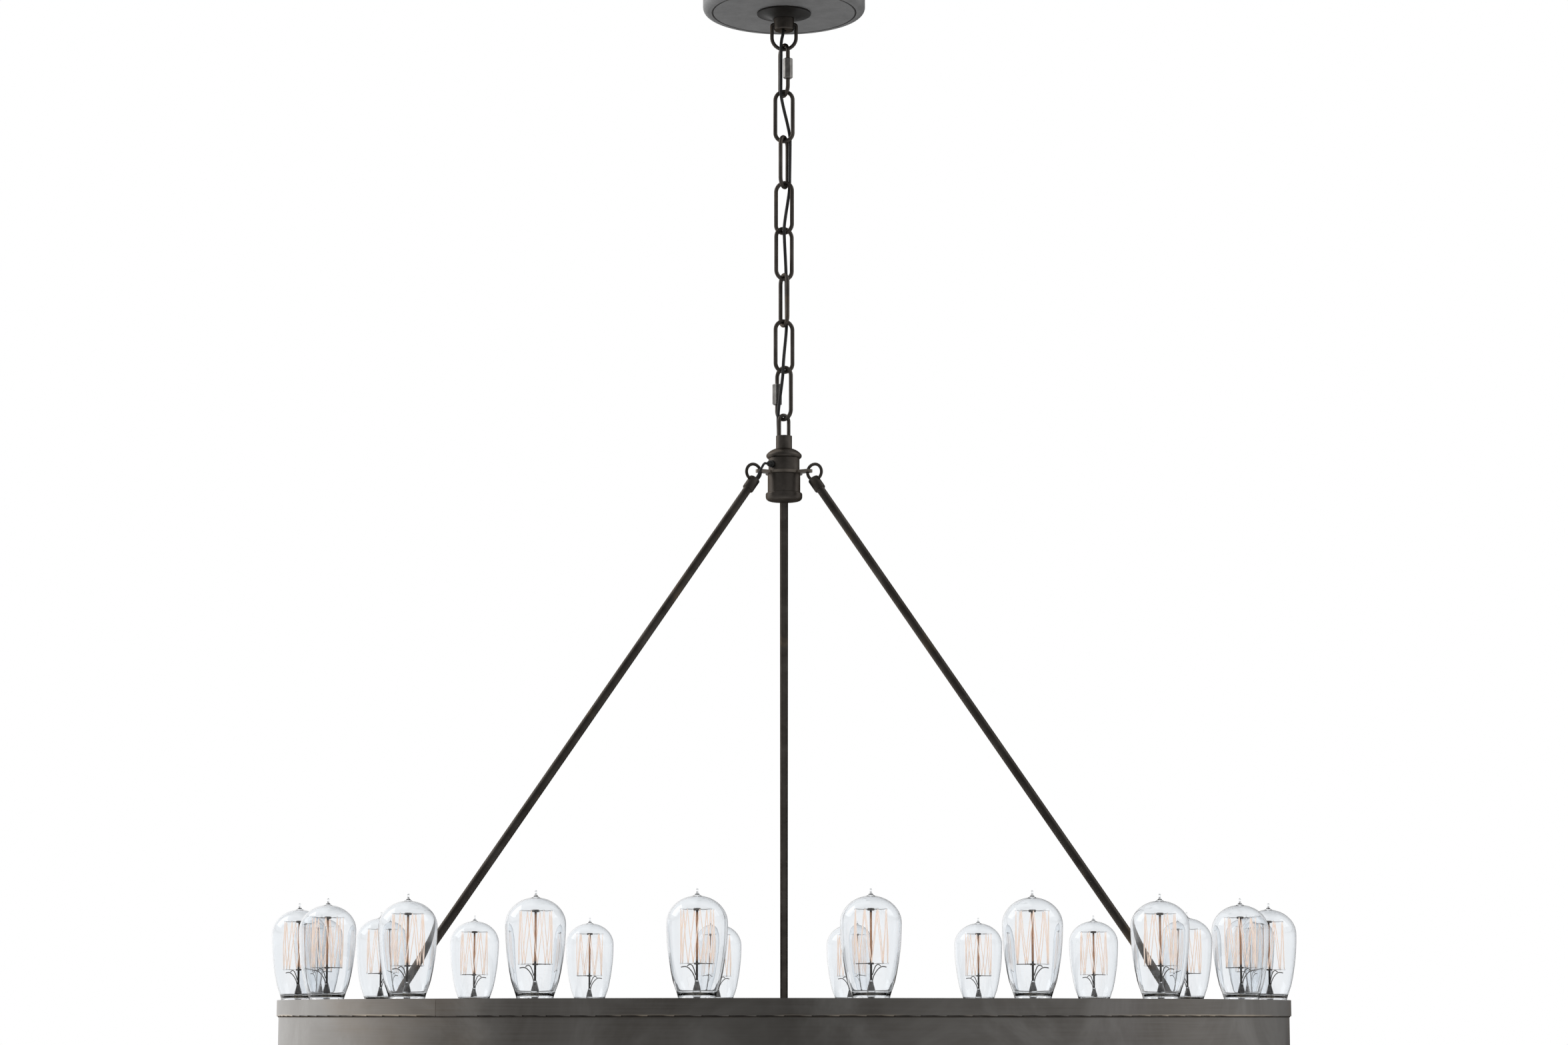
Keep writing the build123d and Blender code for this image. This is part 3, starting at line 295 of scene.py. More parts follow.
def nut_grey():
    """Greyer worn plating of the quick links' nuts."""
    s = Shader("nut_grey")
    mottle = s.noise(70.0, detail=5.0, rough=0.65, warp=0.5)
    s.set(Base_Color=s.tones(mottle, (0.2, 0.19, 0.18), (0.42, 0.41, 0.39)), Metallic=1.0, IOR=1.5,
          Roughness=s.spread(mottle, 0.3, 0.46))
    s.bump((s.noise(420.0, detail=3.0), 0.00008, 0.25))
    return s.material


def canopy_grey():
    """Grey hammered paint with a fine sparkling grain and dark specks."""
    s = Shader("canopy_grey")
    grain = s.noise(520.0, detail=3.0, rough=0.7)
    specks = s.noise(520.0, detail=2.0, rough=0.6)
    blotch = s.noise(60.0, detail=4.0, rough=0.6)
    base = s.tones(blotch, (0.15, 0.15, 0.151), (0.21, 0.21, 0.211))
    base = s.mix(s.span(grain, to=(0.0, 0.7), over=(0.45, 0.75)), base, (0.32, 0.32, 0.321))
    base = s.mix(s.span(specks, to=(0.0, 0.55), over=(0.55, 0.75)), base, (0.065, 0.065, 0.067))
    s.set(Base_Color=base, Metallic=0.35, IOR=1.5, Roughness=s.spread(grain, 0.42, 0.62))
    s.bump((grain, 0.0002, 0.35), (blotch, 0.0004, 0.15))
    return s.material


def zinc():
    """Plain zinc-plated steel with a soft crystalline grain."""
    s = Shader("zinc")
    spangle = s.noise(170.0, detail=4.0, rough=0.7, warp=0.8)
    s.set(Base_Color=s.tones(spangle, (0.42, 0.42, 0.41), (0.62, 0.62, 0.6)), Metallic=1.0,
          Roughness=s.spread(spangle, 0.28, 0.46))
    s.bump((s.noise(700.0, detail=2.0), 0.00006, 0.2))
    return s.material


def lamp_brass():
    """Bright nickel-brass of the lamps' screw shells, with turned lines."""
    s = Shader("lamp_brass")
    lines = s.noise(1.0, detail=2.0, rough=0.5, vector=s.scaled(40.0, 40.0, 900.0))
    tarnish = s.noise(120.0, detail=4.0, rough=0.6)
    s.set(Base_Color=s.tones(tarnish, (0.52, 0.38, 0.19), (0.74, 0.58, 0.33)), Metallic=1.0,
          Roughness=s.spread(tarnish, 0.2, 0.38))
    s.bump((lines, 0.0001, 0.25))
    return s.material


def clear_glass():
    """Clear lamp glass with a cool tint, greyer where it turns away from the eye: painted shade along its edges.
    """
    s = Shader("clear_glass")
    facing = s.add("ShaderNodeLayerWeight")
    facing.inputs["Blend"].default_value = 0.5
    tint_and_edge_shade = s.ramp(facing.outputs["Facing"], (0.0, (0.945, 0.958, 0.971)), (0.4, (0.905, 0.924, 0.942)),
                  (0.8, (0.81, 0.834, 0.862)), (1.0, (0.65, 0.67, 0.7)))
    s.set(Base_Color=tint_and_edge_shade, Roughness=0.0, IOR=1.45, Transmission_Weight=1.0)
    s.bump((s.noise(14.0, detail=2.0, rough=0.5), 0.0005, 0.1))
    return s.material


def stem_glass():
    """Greyer pressed glass of the lamps' stems."""
    s = Shader("stem_glass")
    s.set(Base_Color=(0.8, 0.81, 0.82), Roughness=0.05, IOR=1.5, Transmission_Weight=1.0)
    s.bump((s.noise(160.0, detail=2.0, rough=0.5), 0.0006, 0.4))
    return s.material


def cage_metal():
    """Hubs, arms and centre rod of the cage: copper brown between the hubs, dark below and above."""
    s = Shader("cage_metal")
    height = s.maths("SUBTRACT", s.axes(s.place)[2], RING_TOP)
    patch = s.noise(240.0, detail=3.0, rough=0.6)
    warm = s.tones(patch, (0.4, 0.19, 0.1), (0.6, 0.34, 0.2))
    dark = s.tones(patch, (0.03, 0.027, 0.025), (0.09, 0.075, 0.062))
    above_lower = s.span(height, over=(0.038, 0.041))
    below_upper = s.span(height, to=(1.0, 0.0), over=(0.0895, 0.0905))
    s.set(Base_Color=s.mix(s.maths("MULTIPLY", above_lower, below_upper), dark, warm), Metallic=0.25,
          Roughness=s.spread(patch, 0.3, 0.5))
    return s.material


def filament_wire():
    """Pale copper filament strands with a faint painted glow, though the lamps are not lit."""
    s = Shader("filament_wire")
    tone = s.noise(90.0, detail=3.0, rough=0.6)
    s.set(Base_Color=s.tones(tone, (0.97, 0.74, 0.58), (0.99, 0.88, 0.8)), Metallic=0.2,
          Roughness=s.spread(tone, 0.4, 0.6), Emission_Color=(1.0, 0.8, 0.68), Emission_Strength=0.35)
    return s.material


def support_wire():
    """Fine dark wire of the cage's spokes and hooks."""
    s = Shader("support_wire")
    tone = s.noise(150.0, detail=3.0, rough=0.6)
    s.set(Base_Color=s.tones(tone, (0.1, 0.095, 0.09), (0.22, 0.21, 0.2)), Metallic=0.6,
          Roughness=s.spread(tone, 0.3, 0.5))
    return s.material


def moulded_black(name, scale, dark, light, smoothest, roughest):
    """Black plastic or rubber with a fine moulded grain."""
    s = Shader(name)
    grain = s.noise(scale, detail=3.0, rough=0.6)
    s.set(Base_Color=s.tones(grain, dark, light), Roughness=s.spread(grain, smoothest, roughest))
    s.bump((grain, 0.0001, 0.3))
    return s.material


def cable_sheath():
    """Smooth black sheath, slightly dusty."""
    s = Shader("cable_sheath")
    dust = s.noise(90.0, detail=4.0, rough=0.6)
    s.set(Base_Color=s.ramp(dust, (0.35, (0.009, 0.009, 0.009)), (0.75, (0.022, 0.021, 0.02))),
          Roughness=s.spread(dust, 0.38, 0.56))
    s.bump((s.noise(380.0, detail=2.0), 0.00008, 0.25))
    return s.material


RING = ring_bronze()
DARK = dark_bronze("dark_bronze", 0.8)
ROD = dark_bronze("rod_bronze", 0.58)
CANOPY = canopy_grey()
ZINC = zinc()
BRASS = lamp_brass()
GLASS = clear_glass()
STEM = stem_glass()
CAGE = cage_metal()
FILAMENT = filament_wire()
WIRE = support_wire()
NUT = nut_grey()
WORN = worn_bronze()
LACQUER = dark_lacquer()
HOLDER = moulded_black("holder_plastic", 420.0, (0.012, 0.012, 0.012), (0.026, 0.025, 0.024), 0.42, 0.6)
CABLE = cable_sheath()
RUBBER = moulded_black("soft_rubber", 300.0, (0.014, 0.014, 0.014), (0.028, 0.028, 0.027), 0.65, 0.85)

SKIN_OF_SLOT = {"bronze": DARK, "canopy_grey": CANOPY, "steel": ZINC, "base_brass": BRASS,
                "clear_glass": GLASS, "filament": FILAMENT, "holder": HOLDER, "cable": CABLE,
                "grommet": RUBBER}
SKIN_OF_NODE = {"eye_plate": WORN, "canopy_collar": LACQUER}
for ring_node in ("outer_band", "inner_band", "top_collar", "bottom_collar", "rod_lugs", "lug_rivets",
                  "socket_deck", "bottom_pan"):
    SKIN_OF_NODE[ring_node] = RING


def skin_of(node, slot):
    """The material of a CAD node: one of its own, or else that of its slot."""
    if node.endswith("_nut"):
        return NUT
    if node.startswith(("upper_eye", "lower_eye")):
        return ROD
    return SKIN_OF_NODE.get(node, SKIN_OF_SLOT[slot])


for entry in frame["record"]["subparts"]:
    mesh = nodes[entry["node"]].data
    mesh.materials.clear()
    mesh.materials.append(skin_of(entry["node"], entry["material_slot"]))


# Mesh helpers
ON_AXIS = 1e-7


def piece(name, points, faces, skin, body=None, slot=None):
    """A smooth-shaded mesh piece in the frame; it rides on a body where one is named."""
    mesh = bpy.data.meshes.new(name)
    mesh.from_pydata(points, [], faces)
    mesh.materials.append(skin)
    mesh.shade_smooth()
    mesh.update()
    made = bpy.data.objects.new(name, mesh)
    bpy.context.collection.objects.link(made)
    if body:
        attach(made, body)
    return made


def turned(profile, sides):
    """Points and faces of a closed profile of radius and height turned about the upright axis."""
    points = []
    faces = []
    rings = []
    for radius, height in profile:
        if radius < ON_AXIS:
            rings.append([len(points)])
            points.append((0.0, 0.0, height))
            continue
        rings.append(list(range(len(points), len(points) + sides)))
        for k in range(sides):
            turn = 2 * pi * k / sides
            points.append((radius * cos(turn), radius * sin(turn), height))
    for low, high in zip(rings, rings[1:] + rings[:1]):
        if len(low) == 1 and len(high) == 1:
            continue
        for k in range(sides):
            after = k + 1
            corners = (low[k % len(low)], low[after % len(low)],
                       high[after % len(high)], high[k % len(high)])
            faces.append(tuple(dict.fromkeys(corners)))
    return points, faces


def turned_mm(profile, sides):
    """A profile in millimetres, turned."""
    return turned([(radius * MM, height * MM) for radius, height in profile], sides)


def tube(line, radius, sides, closed_ends=True):
    """Points and faces of a round tube along a line of points."""
    points = []
    rings = []
    side = None
    for k, here in enumerate(line):
        run = (line[min(k + 1, len(line) - 1)] - line[max(k - 1, 0)]).normalized()
        if side is None:
            side = run.orthogonal().normalized()
        side = (side - run * side.dot(run)).normalized()
        across = run.cross(side)
        rings.append(list(range(len(points), len(points) + sides)))
        for n in range(sides):
            turn = 2 * pi * n / sides
            points.append(here + (side * cos(turn) + across * sin(turn)) * radius)
    faces = []
    for a, b in zip(rings, rings[1:]):
        for n in range(sides):
            m = (n + 1) % sides
            faces.append((a[n], a[m], b[m], b[n]))
    if closed_ends:
        faces.append(tuple(reversed(rings[0])))
        faces.append(tuple(rings[-1]))
    return points, faces


def spline(points, fineness=12):
    """The points of a smooth line whose control points are given."""
    curve = bpy.data.curves.new("route", "CURVE")
    curve.dimensions = "3D"
    route = curve.splines.new("NURBS")
    route.points.add(len(points) - 1)
    for spot, at in zip(route.points, points):
        spot.co = (*at, 1.0)
    route.order_u = 3
    route.use_endpoint_u = True
    route.resolution_u = fineness
    holder = bpy.data.objects.new("route", curve)
    bpy.context.collection.objects.link(holder)
    bpy.context.view_layer.update()
    mesh = bpy.data.meshes.new_from_object(holder)
    line = [vertex.co.copy() for vertex in mesh.vertices]
    bpy.data.objects.remove(holder)
    bpy.data.curves.remove(curve)
    bpy.data.meshes.remove(mesh)
    return line


def spline_mm(points, fineness):
    """A smooth line whose control points are given in millimetres."""
    return spline([Vector(point) * MM for point in points], fineness)


def joined(*parts):
    """Several lots of points and faces as one lot."""
    points = []
    faces = []
    for more_points, more_faces in parts:
        start = len(points)
        points += [tuple(point) for point in more_points]
        faces += [tuple(index + start for index in face) for face in more_faces]
    return points, faces


def round_at(radius, turn, z):
    """The point at a radius, a turn and a level."""
    return Vector((radius * cos(turn), radius * sin(turn), z))


def declare_cord(node):
    """Hides the CAD node that a tube along a line stands for."""
    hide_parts(node)


# Supply cable: one smooth line threaded down the chain, cut into spans, one for each body along it
CABLE_R = 0.002
CHAIN_LINKS = 6

# Where the cable passes the chain's joints: turns in degrees, radii and levels in millimetres
LINK_PITCH = 59.0
CROSSING_HALF = 7.0
crossing_turns = (237.5, 235.0, 31.0, 21.0, 271.5, 70.5, 65.0, 262.0, 181.5)
crossing_radii = (6.8, 6.8, 9.0, 7.6, 7.6, 7.8, 7.4, 7.4, 7.4)
crossing_levels = (-73.0, *(-132.7 - LINK_PITCH * k for k in range(CHAIN_LINKS + 1)), -546.7)
control = [Vector((0, 0, -1.25)), Vector((0, 0, -51.0))]
for radius, turn, level in zip(crossing_radii, crossing_turns, crossing_levels):
    control.append(round_at(radius, radians(turn), level + CROSSING_HALF))
    control.append(round_at(radius, radians(turn), level - CROSSING_HALF))
control += [Vector((-6.9, 0, -565.7)), Vector((-6.9, 0, -606.4))]
cable_line = spline([point * MM for point in control])

# The spans, from one body to the next; the first is cut a little below the bail's pivot
FIRST_BEND_Z, FIRST_BEND_HALF, FIRST_CUT_Z = -0.0545, 0.0045, -0.0605
BEND_HALF, BELOW_CABLE = 0.010, -0.7
link_bodies = [f"link_{k + 1}" for k in range(CHAIN_LINKS)]
cable_bodies = ["canopy", "bail", "quick_link_top", *link_bodies, "quick_link_bottom", "hub"]
pivots = [FIRST_BEND_Z, *(pivot_of[body][2] for body in cable_bodies[2:])]
cuts = [0.0, FIRST_CUT_Z, *((a + b) / 2 for a, b in zip(pivots[1:], pivots[2:])), BELOW_CABLE]
for k, pivot in enumerate(pivots):
    inside = [n for n, at in enumerate(cable_line) if cuts[k + 1] < at.z <= cuts[k]]
    stretch = cable_line[inside[0]:inside[-1] + 2]
    points, faces = tube(stretch, CABLE_R, sides=16, closed_ends=False)
    span = piece(f"supply_cable_span_{k + 1}", points, faces, CABLE, slot="cable")
    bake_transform(span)
    declare_cord("supply_cable")


# Short leads at the feed rod's two ends
LEAD_R = 0.0015
LEAD_SIDES = 14


def beside_rod(out, up, across, z):
    """A point by the feed rod: millimetres outwards, over a level and across."""
    outwards = Vector((cos(FEED_TURN), sin(FEED_TURN), 0))
    sideways = Vector((-sin(FEED_TURN), cos(FEED_TURN), 0))
    return outwards * out * MM + sideways * across * MM + Vector((0, 0, up * MM + z))


hub_route = [beside_rod(*at, PLATE_Z) for at in (
    (13.25, 9.5, 3.8), (28.35, 9.5, 3.8), (32.4, 8.75, 7.6), (36.9, 3.17, 9.12), (39.25, -7.24, 3.8),
    (42.82, -12.06, 3.8))]
hub_line = spline(hub_route)
hub_lead = piece("hub_lead_wire", *tube(hub_line, LEAD_R, LEAD_SIDES), CABLE, slot="cable")
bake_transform(hub_lead)
declare_cord("hub_lead")

ring_route = [beside_rod(*at, LUG_Z) for at in (
    (536.08, 12.06, 4.4), (539.65, 7.24, 4.6), (549.0, 6.5, 5.6), (556.4, 9.0, 6.0), (568.4, 9.0, 6.0),
    (573.35, 5.0, 6.0), (574.85, -3.0, 6.0), (574.85, -52.1, 6.0))]
ring_line = spline(ring_route)
ring_lead = piece("ring_lead_wire", *tube(ring_line, LEAD_R, LEAD_SIDES), CABLE, "ring", "cable")
declare_cord("ring_lead")


# Rods: a straight round bar with a ferrule at each end, its profile in millimetres from the ear's hole
ROD_R, FERRULE_R, FERRULE_START, FERRULE_END = 5.2, 7.1, 12.9, 30.2
ROD_PARTS = 8
ferrule = [(0.0, FERRULE_START), (FERRULE_R - 1.0, FERRULE_START), (FERRULE_R - 0.3, FERRULE_START + 0.3),
           (FERRULE_R, FERRULE_START + 1.0), (FERRULE_R, FERRULE_END - 0.9),
           (FERRULE_R - 0.3, FERRULE_END - 0.2), (FERRULE_R - 0.9, FERRULE_END), (ROD_R + 0.2, FERRULE_END),
           (ROD_R, FERRULE_END + 0.3)]
for name, angle in (("back", 90), ("left", 210), ("right", 330)):
    ear = Vector(pivot_of[f"rod_{name}"])
    way = round_at(LUG_R, radians(angle), LUG_Z) - ear
    length = way.length / MM
    bare = length - 2 * FERRULE_END
    middle = [(ROD_R, FERRULE_END + bare * n / ROD_PARTS) for n in range(1, ROD_PARTS)]
    far_ferrule = [(r, length - z) for r, z in reversed(ferrule)]
    points, faces = turned_mm(ferrule + middle + far_ferrule, sides=28)
    stand = Vector((0, 0, 1)).rotation_difference(way)
    points = [ear + stand @ Vector(point) for point in points]
    rod = piece(f"rod_bar_{name}", points, faces, ROD, f"rod_{name}", "bronze")
    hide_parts(f"rod_{name}")


def hoop(name, radius, level, wide, high, skin, body, slot):
    """A thin level line of oval section all round the upright axis."""
    section = [(radius + wide * cos(pi * n / 4), level + high * sin(pi * n / 4)) for n in range(8)]
    piece(name, *turned(section, sides=192), skin, body, slot)


# A dark line of painted shade in the canopy's pressed groove
GROOVE_R, GROOVE_Z, GROOVE_WIDE, GROOVE_HIGH = 0.0905, -0.0277, 0.0009, 0.00027
hoop("canopy_groove_shade_line", GROOVE_R, GROOVE_Z, GROOVE_WIDE, GROOVE_HIGH, LACQUER, "canopy", "canopy_grey")


# A dark line of painted shade in the corner beside each collar's bead, and solder in the collars' seams
SHADE_LINE_R, SHADE_LINE_DROP, SHADE_LINE_WIDE, SHADE_LINE_HIGH = RING_R - 0.0019, BEAD_DROP + 0.0014, 0.0006, 0.0008
SEAM_TURN, SEAM_DEPTH, SOLDER_R = radians(-90 - 38), 0.0007, 0.0006
for name, edge, inward in (("top", RING_TOP, -1), ("bottom", RING_FOOT, 1)):
    shade_line_level = edge + inward * SHADE_LINE_DROP
    hoop(f"collar_shade_line_{name}", SHADE_LINE_R, shade_line_level, SHADE_LINE_WIDE, SHADE_LINE_HIGH, DARK, "ring", "bronze")
    seam_levels = [edge + inward * BEAD_DROP * (0.01 + 0.2 * k) for k in range(6)]
    seam = [round_at(RING_R - SEAM_DEPTH, SEAM_TURN, level) for level in seam_levels]
    piece(f"collar_seam_{name}", *tube(seam, SOLDER_R, sides=10), WORN, "ring", "bronze")


# Lamps: each piece is made once on the axis, from the ring's top, and copied round the ring
FAR_SINE = 0.25
TWIST_STEP = 11.0


def around(name, points, faces, skin, slot, node=None):
    """One piece with a copy at every lamp's place; near lamps' hooks point outwards, far ones' inwards."""
    all_points = []
    all_faces = []
    for k in range(LAMPS):
        turn = radians(-90 + 180 / LAMPS + 360 / LAMPS * k)
        spot = round_at(LAMP_R, turn, RING_TOP)
        facing = 1.0 if cos(turn) > 0 else -1.0
        if sin(turn) > FAR_SINE:
            facing = -facing
        start = len(all_points)
        twist = radians(TWIST_STEP * (k * 7 % 5 - 2))
        for point in points:
            x, y = point[0] * facing, point[1] * facing
            twisted = Vector((x * cos(twist) - y * sin(twist), x * sin(twist) + y * cos(twist), point[2]))
            all_points.append(spot + twisted)
        all_faces += [tuple(index + start for index in face) for face in faces]
    made = piece(name, all_points, all_faces, skin, "ring", slot)
    if node:
        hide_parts(node)


# Bulb glass, in millimetres over the ring's top
BULB_R, WIDEST, DOME, FLANK, KNEE_H, WALL = 32.5, 78.0, 29.0, 262.0, 21.0, 0.8
NECK_R, NECK_FOOT, THROAT_R, FLOOR_H = 11.9, -12.0, 19.5, -4.5
BEND_H, BEND_MORE, BEND_SPREAD = 1.9, 2.9, 2.2
FLANK_STEPS, DOME_STEPS = 22, 26
OUTER_DOME_END, INNER_DOME_END = 4.6, 0.9
flank_turn = asin((WIDEST - KNEE_H) / FLANK)
knee_r = BULB_R - FLANK * (1 - cos(flank_turn))


def bulb_side():
    """The bulb's side from its neck up to its widest height: a wide throat, a knee and a long flank."""
    below_knee = 4.0
    control = ((NECK_R, NECK_FOOT), (NECK_R, FLOOR_H), (THROAT_R, FLOOR_H), (THROAT_R + 0.3, 1.0),
               (22.4, 9.0), (knee_r - below_knee * tan(flank_turn), KNEE_H - below_knee), (knee_r, KNEE_H))
    throat = [(at.x / MM, at.z / MM) for at in spline_mm([(r, 0, z) for r, z in control], 8)]
    turns = [flank_turn * (n / FLANK_STEPS - 1) for n in range(FLANK_STEPS + 1)]
    flank = [(BULB_R - FLANK + FLANK * cos(turn), WIDEST + FLANK * sin(turn)) for turn in turns]
    return throat[:-1] + flank


def wall_at(z):
    """The glass is thickest in the bend over the throat."""
    return WALL + BEND_MORE * exp(-((z - BEND_H) / BEND_SPREAD) ** 2)


def inner_side(line):
    """A line of radius and height moved inwards by the wall's thickness."""
    moved = []
    for k, (r, z) in enumerate(line):
        depth = wall_at(z)
        before, after = line[max(k - 1, 0)], line[min(k + 1, len(line) - 1)]
        along = Vector((after[0] - before[0], after[1] - before[1])).normalized()
        moved.append((r - along.y * depth, z + along.x * depth))
    return moved


def dome(radius, rise, upto):
    """The bulb's top from its widest height up to a small radius."""
    turns = [acos(upto / radius) * n / DOME_STEPS for n in range(1, DOME_STEPS + 1)]
    return [(radius * cos(turn), WIDEST + rise * sin(turn)) for turn in turns]


pip = [(3.5, 107.5), (2.5, 108.3), (1.7, 109.3), (1.2, 110.4), (1.0, 111.6), (1.15, 112.6), (1.3, 113.4),
       (1.05, 114.2), (0.5, 114.55), (0.0, 114.6)]
outer = bulb_side() + dome(BULB_R, DOME, OUTER_DOME_END) + pip
inner = inner_side(bulb_side()) + dome(BULB_R - WALL, DOME - WALL, INNER_DOME_END)
inner.append((0.0, WIDEST + DOME - WALL))
points, faces = turned_mm(outer + inner[::-1], sides=56)
around("bulb_glass_shells", points, faces, GLASS, "clear_glass", "bulb_glass")

# Glass stem
stem_profile = [(0.0, -11.5), (10.6, -11.5), (10.2, -10.0), (7.6, -6.5), (5.4, -2.5), (4.6, 1.0), (4.4, 6.0),
                (4.2, 9.0), (3.4, 12.5), (2.5, 15.5), (2.0, 18.0), (1.5, 19.0), (0.0, 19.0)]
points, faces = turned_mm(stem_profile, sides=28)
around("bulb_stem_glass", points, faces, STEM, "clear_glass", "bulb_stems")


def rounded_disc(radius, low, high, edge):
    """A closed profile of a disc with rounded edges."""
    near = 0.3 * edge
    return [(0.0, low), (radius - edge, low), (radius - near, low + near), (radius, low + edge),
            (radius, high - edge), (radius - near, high - near), (radius - edge, high), (0.0, high)]


# Cage: hubs, centre rod, press and two arms
CAGE_R, CAGE_TOP, CAGE_FOOT, STRANDS = 17.5, 93.0, 36.0, 16
ARM_R = 0.45
upper_hub = rounded_disc(4.0, 91.4, 94.0, 0.8)
lower_hub = rounded_disc(3.2, 35.0, 37.0, 0.6)
centre_rod = [(0.0, 18.5), (1.25, 18.5), (1.25, 91.5), (0.0, 91.5)]
press = [(0.0, 7.4), (4.0, 7.4), (4.3, 7.9), (3.9, 9.2), (2.6, 11.0), (1.7, 13.0), (1.3, 17.0), (0.0, 17.0)]
parts = [turned_mm(upper_hub, sides=24), turned_mm(lower_hub, sides=24), turned_mm(centre_rod, sides=16),
         turned_mm(press, sides=24)]
for level, reach in ((35.9, -17.0), (36.1, -8.0)):
    arm = ((0.0, 0.0, level), (reach * 0.5, 0.4, level + 0.4), (reach, 0.2, level))
    parts.append(tube(spline_mm(arm, 6), ARM_R * MM, sides=8))
points, faces = joined(*parts)
around("bulb_cage_supports", points, faces, CAGE, "filament")

# Spokes that hold the strands, and the two bent hooks
SPOKE_R, HOOK_R = 0.14, 0.6
parts = []
for level, offset, bend in ((CAGE_TOP, 0, -1.6), (CAGE_FOOT, 1, 1.6)):
    spoke = ((2.5, level), (11.0, level + 0.25 * bend), (16.4, level), (CAGE_R + 0.9, level - 0.3 * bend),
             (CAGE_R + 0.9, level + 0.5 * bend), (CAGE_R - 0.2, level + 0.55 * bend))
    for k in range(STRANDS // 2):
        turn = 2 * pi * (2 * k + offset) / STRANDS
        line = spline_mm([round_at(r, turn, z) for r, z in spoke], 5)
        parts.append(tube(line, SPOKE_R * MM, sides=6))
long_hook = ((1.2, 0.0, 15.0), (1.6, 0.0, 20.0), (4.4, 0.4, 26.5), (9.0, 0.9, 31.8), (13.0, 1.0, 33.2),
             (17.0, 0.4, 32.2))
short_hook = ((1.4, 0.3, 24.0), (3.2, 0.8, 30.5), (5.4, 1.2, 34.6), (8.4, 1.2, 35.4), (10.4, 0.8, 33.4))
for hook in (long_hook, short_hook):
    parts.append(tube(spline_mm(hook, 6), HOOK_R * MM, sides=8))
points, faces = joined(*parts)
around("bulb_support_wires", points, faces, WIRE, "filament")

# Filament strands up and down between the spokes' ends, most of them a little bowed
STRAND_R, STRAND_GAP, BOW = 0.5, 0.6, 0.6
ends = (CAGE_TOP - STRAND_GAP, CAGE_FOOT + STRAND_GAP)
parts = []
for k in range(STRANDS):
    start = round_at(CAGE_R, 2 * pi * k / STRANDS, ends[k % 2])
    stop = round_at(CAGE_R, 2 * pi * (k + 1) / STRANDS, ends[(k + 1) % 2])
    bow = round_at(BOW * (k * 5 % 3), 2 * pi * (k + 0.5) / STRANDS, 0.0)
    strand = (start, start.lerp(stop, 0.3) + bow, (start + stop) / 2 + bow,
              start.lerp(stop, 0.7) + bow * 0.6, stop)
    parts.append(tube(spline_mm(strand, 5), STRAND_R * MM, sides=6))
points, faces = joined(*parts)
around("bulb_filament_strands", points, faces, FILAMENT, "filament", "filaments")


# Floor, seen from above only
FLOOR_Z, FLOOR_HALF = -2.35, 30.0
floor_skin = Shader("floor")
floor_skin.set(Base_Color=(0.86, 0.86, 0.86), Roughness=0.9)
underside = floor_skin.add("ShaderNodeNewGeometry").outputs["Backfacing"]
nothing = floor_skin.add("ShaderNodeBsdfTransparent").outputs["BSDF"]
floor_skin.show(floor_skin.mix_shaders(underside, floor_skin.surface.outputs["BSDF"], nothing))
corners = [(x * FLOOR_HALF, y * FLOOR_HALF, FLOOR_Z) for x, y in ((-1, -1), (1, -1), (1, 1), (-1, 1))]
floor_mesh = bpy.data.meshes.new("floor")
floor_mesh.from_pydata(corners, [], [(0, 1, 2, 3)])
floor_mesh.materials.append(floor_skin.material)
floor = bpy.data.objects.new("floor", floor_mesh)
bpy.context.collection.objects.link(floor)
floor.visible_glossy = False


# Two soft lamps
LIT_POINT = Vector((0.0, 0.0, -1.1))


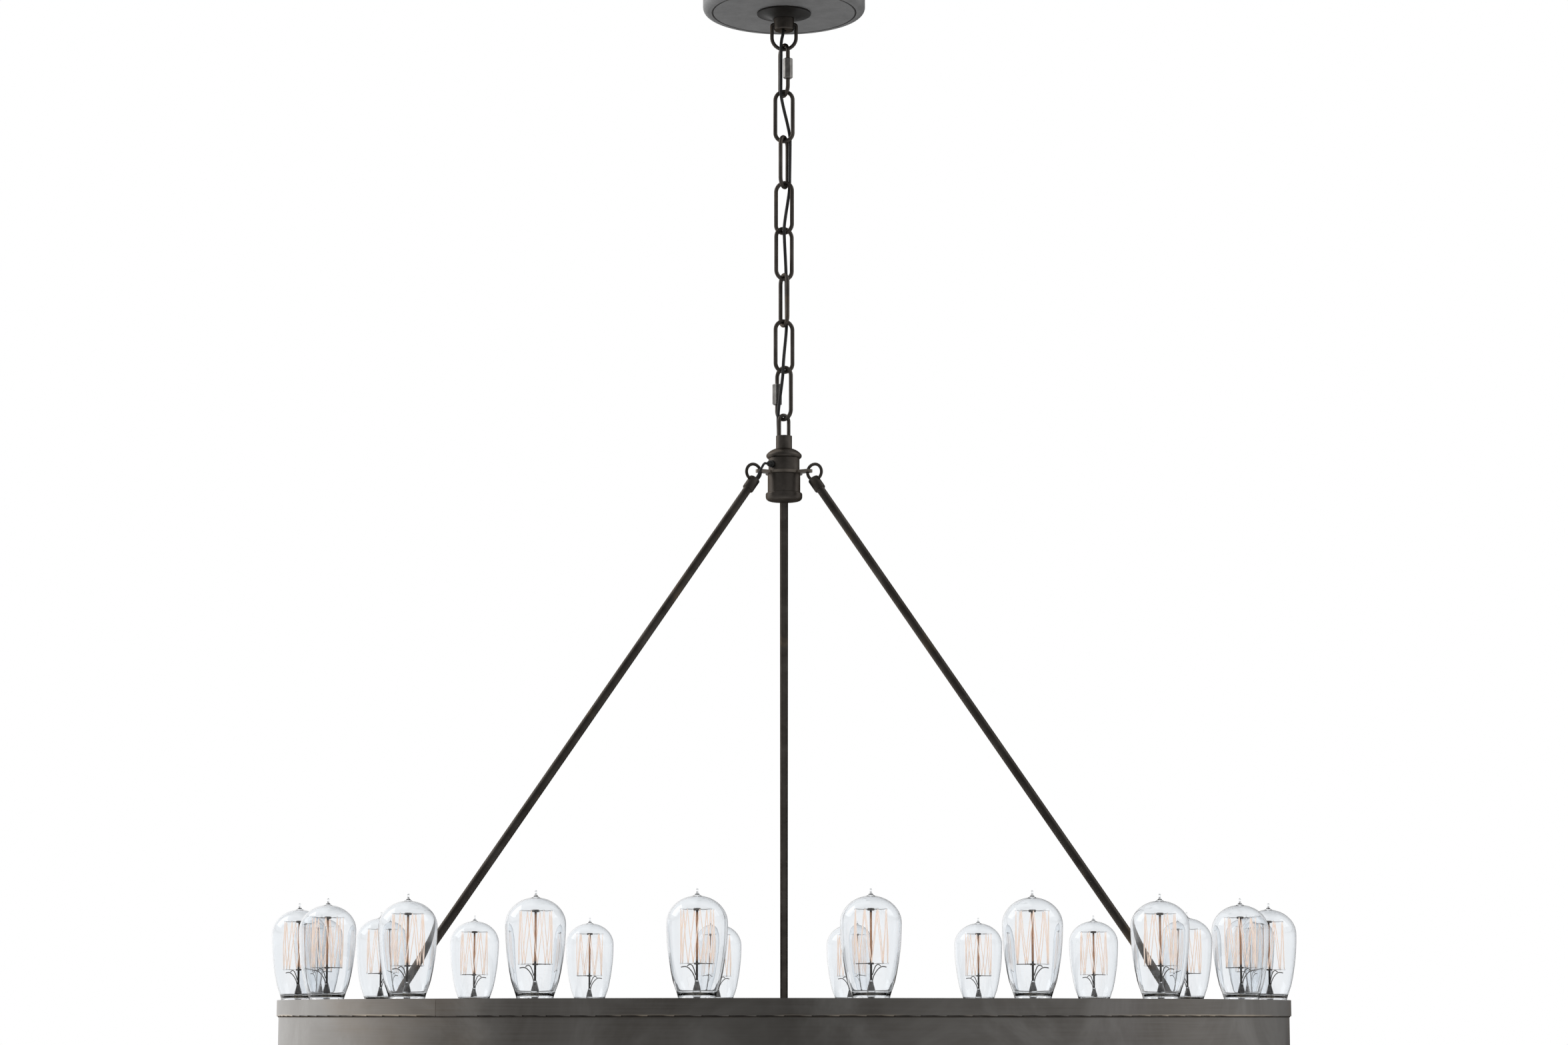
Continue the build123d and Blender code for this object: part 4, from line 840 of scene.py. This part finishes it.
def soft_lamp(name, at, size, power):
    """A square lamp that faces a point just over the ring's middle."""
    light = bpy.data.lights.new(name, "AREA")
    light.size = size
    light.energy = power
    lamp = bpy.data.objects.new(name, light)
    lamp.location = at
    lamp.rotation_mode = "QUATERNION"
    lamp.rotation_quaternion = (LIT_POINT - Vector(at)).to_track_quat("-Z", "Y")
    bpy.context.collection.objects.link(lamp)


soft_lamp("soft_left", (-4.2, 0.9, 2.0), size=3.0, power=40.0)
soft_lamp("soft_right", (4.4, -0.4, 2.2), size=2.6, power=20.0)


# Studio: white to the camera and through glass, walls of several greys to gloss, a soft light to the rest
def grey(level):
    """A grey as a colour."""
    return (level, level, level)


world = bpy.data.worlds.new("studio")
bpy.context.scene.world = world
world.use_nodes = True
sky = Nodes(world.node_tree)
east, north, up = sky.axes(sky.add("ShaderNodeTexCoord").outputs["Generated"])
ray = sky.add("ShaderNodeLightPath").outputs
soft_light = sky.ramp(sky.span(north, over=(-1.0, 1.0)),
                      (0.0, grey(0.42)), (0.16, grey(0.6)), (0.45, grey(0.92)))
bearing = sky.maths("ARCTAN2", east, sky.maths("MULTIPLY", north, -1.0))
wall_levels = ((-180, 0.4), (-160, 1.3), (-128, 1.6), (-108, 1.3), (-94, 0.75), (-80, 0.38), (-62, 0.3),
               (-28, 0.3), (0, 0.115), (28, 0.36), (60, 0.36), (85, 0.5), (100, 0.9), (114, 0.6),
               (138, 0.32), (158, 0.07), (180, 0.14))
wall_stops = [(0.5 + angle / 360, grey(level)) for angle, level in wall_levels]
walls = sky.ramp(sky.span(bearing, over=(-pi, pi)), *wall_stops)
walls_and_ground = sky.mix(sky.span(up, over=(-0.3, -0.65)), walls, grey(0.5))
studio = sky.add("ShaderNodeBackground")
sky.link(sky.mix(ray["Is Glossy Ray"], soft_light, walls_and_ground), studio.inputs["Color"])
white = sky.add("ShaderNodeBackground")
white.inputs["Color"].default_value = (1.0, 1.0, 1.0, 1.0)
shows_white = sky.maths("MAXIMUM", ray["Is Camera Ray"], ray["Is Transmission Ray"])
sky_out = sky.add("ShaderNodeOutputWorld")
sky.link(sky.mix_shaders(shows_white, studio.outputs["Background"], white.outputs["Background"]),
         sky_out.inputs["Surface"])

bpy.context.view_layer.update()
